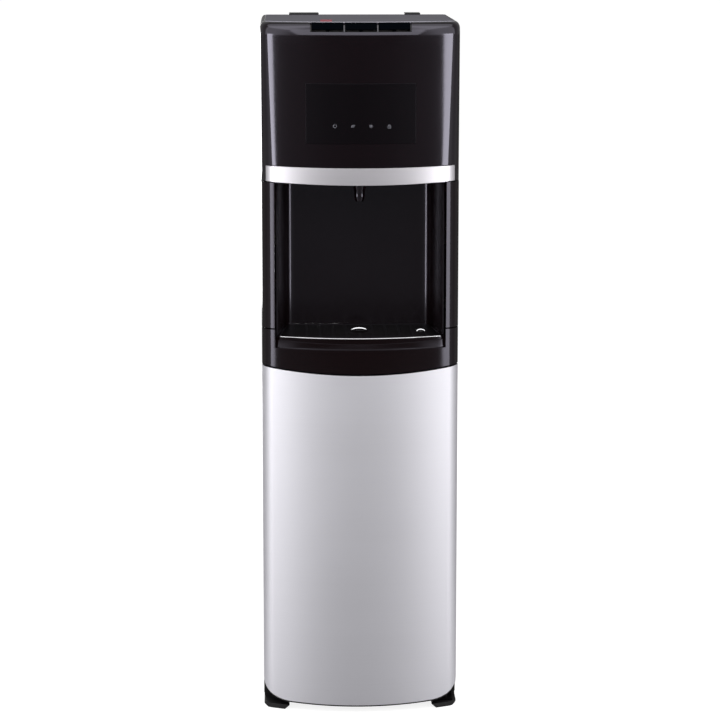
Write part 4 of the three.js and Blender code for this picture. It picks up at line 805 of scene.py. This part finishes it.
def head_shape(z):
    """The head's outline in plan at a height: its corner, the place of its front and its side."""
    up = min(1, max(0, (z - WIDEST) / (BROW - WIDEST)))
    lean = min(1, max(0, (z - BROW) / ARC))
    over = min(1, max(0, (z - 1085) / 10))
    return {"corner": WIDE_CORNER - 14 * up, "front": FRONT + 16 * (1 - sqrt(1 - lean ** 2)),
            "side": HALF - 7 * (1 - sqrt(1 - over ** 2))}


def head_face(centre, normal, face):
    """Whether a face of the head's solid is part of its outer surface."""
    out = inset_of(centre.x, centre.y, **head_shape(centre.z))[1]
    depth = max(inset_of(vert.co.x, vert.co.y, **head_shape(vert.co.z))[0] for vert in face.verts)
    return depth < 0.9 and (normal.dot(out) > 0.5 or (centre.z > BROW and normal.z > 0.3))


def opening(x, y, z):
    """Whether a place on the head's front lies in the window's opening or in the keys' gap."""
    return ((abs(x) < WINDOW_HALF and WINDOW_FOOT < z < WINDOW_TOP)
            or (abs(x) < KEYS_HALF and z > KEYS_FOOT))


bm = stripped("head_cover", head_face)
wide = {"corner": WIDE_CORNER}
rows = [(climbing(HEAD_FOOT + up, TOP_RISE), inset, wide)
        for up, inset in ((-0.35, 0.35), (-0.25, 0.1), (0, 0.0))]
heights = [875, WINDOW_FOOT, 940, 970, WINDOW_TOP, 1030, 1055, BROW]
heights += [BROW + ARC * sin(pi / 2 * t / 16) for t in range(1, 16)]
rows += [(z, 0, head_shape(z)) for z in heights]
rows += [(1094.95, 0, head_shape(1094.98)), (TOP, 0.3, head_shape(TOP))]
face_sheet = bmesh.new()
skinned(face_sheet, rows)
for side in (-1, 1):
    for edge in (WINDOW_HALF, KEYS_HALF):
        trimmed(face_sheet, list(face_sheet.faces), (side * edge, 0, 0), (side, 0, 0), False)
trimmed(face_sheet, list(face_sheet.faces), (0, 0, KEYS_FOOT), (0, 0, 1), False)
dropped(face_sheet, face_sheet.faces, opening)

# The two ends of the head's front reach down beside the band.
END_INNER = BAND_END + 0.3
ends = bmesh.new()
skinned(ends, [(848.0, 0.3), (848.2, 0.0), (climbing(HEAD_FOOT, TOP_RISE), 0.0)], **wide)
for side in (-1, 1):
    trimmed(ends, list(ends.faces), (side * END_INNER, 0, 0), (side, 0, 0), False)
dropped(ends, ends.faces, lambda x, y, z: abs(x) < END_INNER)
joined(bm, [face_sheet, ends])
settled("head_front", bm, head_black, "cabinet", "head_cover", slot="gloss_black", core="kept",
        smooth=30, weld=False)


# ---- Display window ----
# A curved pane of smoked acrylic, pressed into the head's opening from the front until it lies
# flush.
smoked = polished("smoked_acrylic", (0.0010, 0.0002, 0.0004), 0.09, specular=0.70, peel=0.008)
softened("window_pane", "display_window", smoked, "cabinet", 0.25, slot="smoked_acrylic")


# ---- Window marks ----
# Four plain marks are printed on the pane, for power, heat, cold and the child lock, each over the
# light of the board behind it.
MARK_HEIGHT = 937


def laid_on_pane(bm, x):
    """Lays a flat mark, drawn about the origin in X and Z, on the pane's curved face."""
    front = FRONT + BOW - sqrt((BOW - 0.15) ** 2 - x ** 2) - 0.12
    bmesh.ops.rotate(bm, verts=bm.verts, cent=(0, 0, 0),
                     matrix=Matrix.Rotation(asin(x / BOW), 3, "Z"))
    bmesh.ops.translate(bm, verts=bm.verts, vec=(x, front, MARK_HEIGHT))


def stroke(bm, start, end, wide=0.55):
    """One straight stroke of a mark, from start to end."""
    start, end = Vector((start[0], 0, start[1])), Vector((end[0], 0, end[1]))
    along = (end - start).normalized()
    off = Vector((-along.z, 0, along.x)) * wide / 2
    verts = [bmesh.ops.create_vert(bm, co=place)["vert"][0]
             for place in (start - off, end - off, end + off, start + off)]
    bmesh.ops.contextual_create(bm, geom=verts)


def arc(bm, middle, radius, start, reach, steps=24, wide=0.55):
    """One round stroke of a mark, from an angle on through a reach, in degrees."""
    first = radians(start)
    ends = [bmesh.ops.create_vert(bm, co=(middle[0] + r * cos(first), 0,
                                          middle[1] + r * sin(first)))["vert"][0]
            for r in (radius - wide / 2, radius + wide / 2)]
    edge = bmesh.ops.contextual_create(bm, geom=ends)["edges"]
    bmesh.ops.spin(bm, geom=[*ends, *edge], cent=(middle[0], 0, middle[1]), axis=(0, -1, 0),
                   angle=radians(reach), steps=steps)


lit, lit_shader, lit_wire = finish("mark_print", (0.17, 0.17, 0.20), 0.5)
speck = lit_wire.node("TexNoise", {}, {
    "Vector": lit_wire.node("TexCoord", out="Object"), "Scale": 900.0})
lit_wire.feed(
    lit_wire.node("MixRGB", {}, {0: speck, 1: (0.13, 0.13, 0.16, 1), 2: (0.21, 0.21, 0.24, 1)}),
    lit_shader.inputs["Base Color"])
for place, mark in ((-40.3, "power"), (-12.5, "heat"), (15.4, "cold"), (43.6, "lock")):
    bm = bmesh.new()
    if mark == "power":
        arc(bm, (0, 0), 2.6, 125, 290)
        stroke(bm, (0, 0.6), (0, 3.4))
    elif mark == "heat":
        for x in (-1.8, 0, 1.8):
            arc(bm, (x - 0.7, 1.2), 1.4, -60, 100, 8)
            arc(bm, (x + 0.7, -1.2), 1.4, 120, 100, 8)
    elif mark == "cold":
        for turn in (0, 60, 120):
            c, d = 3.1 * cos(radians(turn + 30)), 3.1 * sin(radians(turn + 30))
            stroke(bm, (-c, -d), (c, d), 0.5)
    else:
        corners = [(-2.2, 0), (2.2, 0), (2.2, -3.2), (-2.2, -3.2), (-2.2, 0)]
        for ends in zip(corners, corners[1:]):
            stroke(bm, *ends)
        arc(bm, (0, 0.3), 1.5, 0, 180, 12)
        stroke(bm, (0, -1.2), (0, -2.1))
    laid_on_pane(bm, place)
    bm.normal_update()
    bmesh.ops.reverse_faces(bm, faces=[face for face in bm.faces if face.normal.y > 0])
    settled("mark_" + mark, bm, lit, "cabinet", slot="smoked_acrylic", core="kept")


# ---- Boards ----
# Two printed circuit boards of glass fibre with a green lacquer: one behind the window, one under
# the keys. Both are screwed to the head.
def finished_in(material, *names):
    """Gives solids whose shape is right a finer finish."""
    for name in names:
        nodes[name].data.materials.clear()
        nodes[name].data.materials.append(material)


finished_in(moulded("board_green", (0.02, 0.13, 0.05), 0.35, grain=300, depth=0.05, fade=0.7),
            "display_board", "switch_board")


# ---- Keys and their bezel ----
# Three black keys for hot, room and cold water follow the brow, between the grey dividers of a
# carrier that is screwed behind them. Each is a moulded shell on a stem that presses its switch.
# Their black is bluer and has almost no reflection. This is painted shade, which keeps the keys as
# dark as the shade they sit in.
divider = moulded("divider_grey", (0.060, 0.058, 0.068), 0.42, grain=900, depth=0.06)
carrier = softened("key_carrier", "key_bezel", divider, "cabinet", 0.25, slot="divider_grey")
carrier.data.materials.append(satin_black)
DIVIDERS_REACH, DIVIDERS_FOOT = 40, 1081.5
for face in carrier.data.polygons:
    if abs(face.center.x) > DIVIDERS_REACH / 1000 or face.center.z < DIVIDERS_FOOT / 1000:
        face.material_index = 1
# Painted shade: a bluer black with almost no reflection keeps the keys as dark as their shade.
keys_painted_shade_black = moulded("keys_painted_shade_black", (0.0008, 0.0014, 0.0024), 0.50, grain=1600, depth=0.1,
                    specular=0.006)
KEY_FOOT, KEY_HALF, KEY_PITCH, KEY_WALL = 1084.6, 24.2, 51.4, 1.4
STEM_RADIUS, STEM_LONG, STEM_MIDDLE, STEM_INSET = 2.6, 23, 1073.0, 10


def rod(bm, middle, radius, length, segments):
    """Stands a round rod upright about its middle."""
    bmesh.ops.create_cone(bm, cap_ends=True, segments=segments, radius1=radius, radius2=radius,
                          depth=length, matrix=Matrix.Translation(middle))


for x, key, body in ((-KEY_PITCH, "button_hot", "hot_key"), (0, "button_room", "room_key"),
                     (KEY_PITCH, "button_cold", "cold_key")):
    bm = bmesh.new()
    first, last = asin((KEY_FOOT - BROW) / ARC), radians(87)
    heights = [BROW + ARC * sin(first + (last - first) * t / 9) for t in range(10)]
    skinned(bm, [(z - 0.02, 0.3, head_shape(z - 0.001)) for z in heights])
    for side in (-1, 1):
        trimmed(bm, list(bm.faces), (x + KEY_HALF * side, 0, 0), (side, 0, 0))
    cap = settled("cap_" + body, bm, keys_painted_shade_black, body, key, slot="gloss_black", core=(0, 0))
    thickened(cap, KEY_WALL, 0.5, 3)
    stem = bmesh.new()
    middle = (x, FRONT + BOW - sqrt(BOW ** 2 - x ** 2) + STEM_INSET, STEM_MIDDLE)
    rod(stem, middle, STEM_RADIUS, STEM_LONG, 20)
    settled("stem_" + body, stem, keys_painted_shade_black, body, slot="gloss_black")


# ---- Top cover ----
# A satin grey moulded lid, flush with the sides, with a flange down the back. It is screwed down
# from behind. A thin light grey bead along its front edge is a painted highlight: it stands for the
# light that the lid's front edge catches.
cover_grey = moulded("cover_grey", (0.054, 0.049, 0.072), 0.40, grain=1300, depth=0.14,
                     specular=0.32)
softened("lid", "top_cover", cover_grey, "cabinet", 1.0, 4, slot="cover_grey")
# The bead's light grey is a painted highlight along the lid's front edge.
lid_edge_painted_highlight = moulded("cover_edge_painted_highlight", (0.42, 0.41, 0.47), 0.30, grain=1300, depth=0.08)
bm = bmesh.new()
skinned(bm, [(1094.4, 0.5), (1095.0, 0.45), (1095.45, 0.6), (1095.6, 0.95), (1095.4, 1.35),
             (1094.6, 1.5)], start=-118, end=-118, **head_shape(TOP))
settled("lid_painted_highlight_bead", bm, lid_edge_painted_highlight, "cabinet", slot="cover_grey", core=(0, -60))


# ---- Child lock ----
# A red slider behind the hot key, moulded in one piece with its grip. It runs in a slot of the
# lid and blocks the key.
lock_red = moulded("lock_red", (0.20, 0.030, 0.045), 0.42, grain=600, depth=0.05)
softened("lock_slider", "child_lock", lock_red, "lock", 0.5, 3, slot="lock_red")


# ---- Side panels ----
# Sheet steel with a baked satin black paint, folded in at the edges and screwed to the base and
# the rear panel.
def painted(name, color, roughness):
    """Powder paint on steel: an even fine orange peel, with a slight drift in its sheen."""
    material, shader, wire = finish(name, color, roughness)
    place = wire.node("TexCoord", out="Object")
    peeled = noise(wire, place, 420.0, 2.0)
    drift = noise(wire, place, 4.0, 3.0)
    toned(wire, shader, color, 0.85, drift)
    wire.feed(roughness * (0.88 + 0.24 * drift), shader.inputs["Roughness"])
    bumped(wire, shader, 0.1, 0.0002, peeled)
    return material


panel_black = painted("panel_black", (0.020, 0.018, 0.021), 0.36)
for side in ("left", "right"):
    softened(side + "_side_sheet", side + "_side_panel", panel_black, "cabinet", 0.3, smooth=40,
             slot="panel_black")


# ---- Rear panel ----
# The same painted sheet, held by plated screws down both edges. Rows of louvres, with hoods pressed
# out of the sheet, let the machine bay breathe.
softened("rear_sheet", "rear_panel", panel_black, "cabinet", 0.3, slot="panel_black")
REAR = 159.3


def screw(bm, place, radius=3.2):
    """A pan-headed screw, with a round recess, that stands on a place and looks back."""
    head = bmesh.new()
    turned(head, [(0, 0.9), (radius * 0.42, 1.0), (radius * 0.5, 1.7), (radius * 0.72, 1.6),
                  (radius * 0.95, 1.0), (radius, 0.3), (radius, 0)], 14)
    bmesh.ops.remove_doubles(head, verts=head.verts, dist=0.001)
    bmesh.ops.recalc_face_normals(head, faces=head.faces)
    turn = Vector((0, 0, 1)).rotation_difference(Vector((0, 1, 0))).to_matrix()
    bmesh.ops.rotate(head, verts=head.verts, cent=(0, 0, 0), matrix=turn)
    bmesh.ops.translate(head, verts=head.verts, vec=place)
    added(bm, head)


bm = bmesh.new()
for x in (-143, 143):
    for z in (26, 300, 560, 800, 1066):
        screw(bm, (x, REAR, z))
settled("rear_screws", bm, zinc, "cabinet", slot="zinc_plated", core="kept", smooth=40)
LOUVRE_FOOT, LOUVRE_PITCH, LOUVRE_LONG = 615.2, 14, 92
bm = bmesh.new()
for row in range(8):
    for x in (-70, 30):
        top = LOUVRE_FOOT + LOUVRE_PITCH * row
        hood = [bmesh.ops.create_vert(bm, co=(x - LOUVRE_LONG / 2, REAR + out, top + up))["vert"][0]
                for out, up in ((0, 2.2), (1.2, 1.9), (2.4, 0.9), (3.2, -0.8), (3.4, -2.4))]
        rows = [bmesh.ops.contextual_create(bm, geom=pair)["edges"][0]
                for pair in zip(hood, hood[1:])]
        made = bmesh.ops.extrude_edge_only(bm, edges=rows)["geom"]
        bmesh.ops.translate(bm, verts=moved(made), vec=(LOUVRE_LONG, 0, 0))
hoods = settled("louvre_hoods", bm, panel_black, "cabinet", slot="panel_black", smooth=50,
                core=(0, 100))
thickened(hoods, 0.6)


# ---- Base and feet ----
# A base moulded in satin black plastic with its two front feet, whose outer ends are flush with the
# sides, and two turned rubber pads screwed in at the back.
FOOT_INNER, FOOT_OUTER, FOOT_TOP, FOOT_BACK = 106, 149, 14.5, -98
FOOT_SHIFT, FOOT_SHARE = 8, 0.94  # each foot is moved out, and narrowed to a share of its width
bm = flattened(copied("base_plinth"))
for vert in bm.verts:
    if abs(vert.co.x) > FOOT_INNER - 0.5 and vert.co.z < FOOT_TOP and vert.co.y < FOOT_BACK:
        wide = min(abs(vert.co.x), FOOT_OUTER) - FOOT_INNER
        out = FOOT_INNER + FOOT_SHIFT + wide * FOOT_SHARE
        vert.co.x = out if vert.co.x > 0 else -out
base = settled("base_moulding", bm, satin_black, "cabinet", "base_plinth", slot="satin_black")
eased(base, 0.8, 3)
rubber = moulded("black_rubber", (0.018, 0.018, 0.018), 0.62, grain=500, depth=0.15)
for side in ("left", "right"):
    softened("pad_" + side, "rear_foot_" + side, rubber, "cabinet", 0.4, smooth=45,
             slot="rubber_black")


# ---- Rear spacers ----
# Two satin black mouldings, hooked over the rear edge, keep the condenser off the wall. Their tops
# show over the lid from the front.
for side in ("left", "right"):
    softened("wall_spacer_" + side, "rear_spacer_" + side, satin_black, "cabinet", 1.2, 3,
             slot="satin_black")


# ---- Condenser ----
# A black painted steel tube in flat runs, with thin wires welded across it on both faces. Two
# zinc-plated rails hold it off the rear panel, with three screws each.
coil_black = painted("coil_black", (0.022, 0.022, 0.024), 0.4)
finished_in(coil_black, "condenser_coil")
for side in ("left", "right"):
    softened("coil_rail_" + side, "condenser_rail_" + side, zinc, "cabinet", 0.8,
             slot="zinc_plated")
WIRE_PITCH, WIRE_LONG, WIRE_RADIUS, WIRE_OFF = 9.2, 462, 0.7, 3.4
COIL_Y, COIL_Z = 170, 335
bm = bmesh.new()
for column in range(-12, 13):
    for out in (-WIRE_OFF, WIRE_OFF):
        place = (column * WIRE_PITCH, COIL_Y + out, COIL_Z)
        rod(bm, place, WIRE_RADIUS, WIRE_LONG, 6)
settled("condenser_wires", bm, coil_black, "cabinet", slot="satin_black", smooth=70)
rail_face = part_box("condenser_rail_left")[1][1] * 1000
bm = bmesh.new()
for x in (-87, 87):
    for z in (120, COIL_Z, 550):
        screw(bm, (x, rail_face, z), 3.0)
settled("condenser_screws", bm, zinc, "cabinet", slot="zinc_plated", core="kept", smooth=40)


# ---- Rear switches ----
# A satin black frame, snapped into the rear panel, holds a red rocker for heating and a black one
# for cooling. Each rocks on a pin through the frame.
softened("switch_surround", "switch_frame", satin_black, "cabinet", 0.5, 3, slot="satin_black")
softened("heat_rocker", "rocker_heat", lock_red, "heat_switch", 0.7, 3, smooth=40, slot="lock_red")
softened("cool_rocker", "rocker_cool", grille_black, "cool_switch", 0.7, 3, smooth=40,
         slot="satin_black")


# ---- Drain and cord inlet ----
# A white nylon spout through the rear panel with a black screw cap on its thread, and the rubber
# gland where a supply cord enters.
softened("drain_pipe", "drain_spout", nylon, "cabinet", 0.4, smooth=40, slot="nylon_white")
softened("drain_screw_cap", "drain_cap", satin_black, "cap", 0.5, smooth=40, slot="satin_black")
softened("inlet_gland", "cord_gland", rubber, "cabinet", 0.4, smooth=40, slot="rubber_black")


# ---- Cupboard ----
# The zinc-plated deck over the bottle, and the probe that goes into its neck, on a wall clip with
# its hose up to the pump.
softened("deck_sheet", "mid_deck", zinc, "cabinet", 0.3, slot="zinc_plated")
softened("probe_stem", "probe_tube", nylon, "cabinet", 0.3, smooth=40, slot="nylon_white")
softened("probe_cap", "probe_collar", nylon, "cabinet", 0.5, 3, smooth=40, slot="nylon_white")
softened("probe_holder", "probe_clip", nylon, "cabinet", 0.5, smooth=40, slot="nylon_white")
hose = moulded("clear_hose", (0.62, 0.64, 0.64), 0.25, grain=300, depth=0.05, fade=0.95)
finished_in(hose, "suction_hose", "hot_line", "cold_line", "pump_line")


# ---- Machine bay ----
# Behind the niche: compressor on its tray, tanks, pump, valves and the control box, bolted to the
# shelf and the panels, and seen through the louvres.
foam = moulded("foam", (0.78, 0.75, 0.66), 0.9, grain=160, depth=0.6, fade=0.9)
copper = plated("copper_tube", (0.72, 0.38, 0.24), 0.3, cloud=0.15)
finished_in(foam, "cold_tank_foam")
finished_in(brushed("tank_steel", (0.60, 0.60, 0.62), 0.3), "cold_tank", "hot_tank")
finished_in(coil_black, "compressor")
finished_in(zinc, "compressor_tray", "bay_shelf")
finished_in(copper, "suction_line")
finished_in(satin_black, "water_pump", "control_box")
finished_in(nylon, "valve_block")
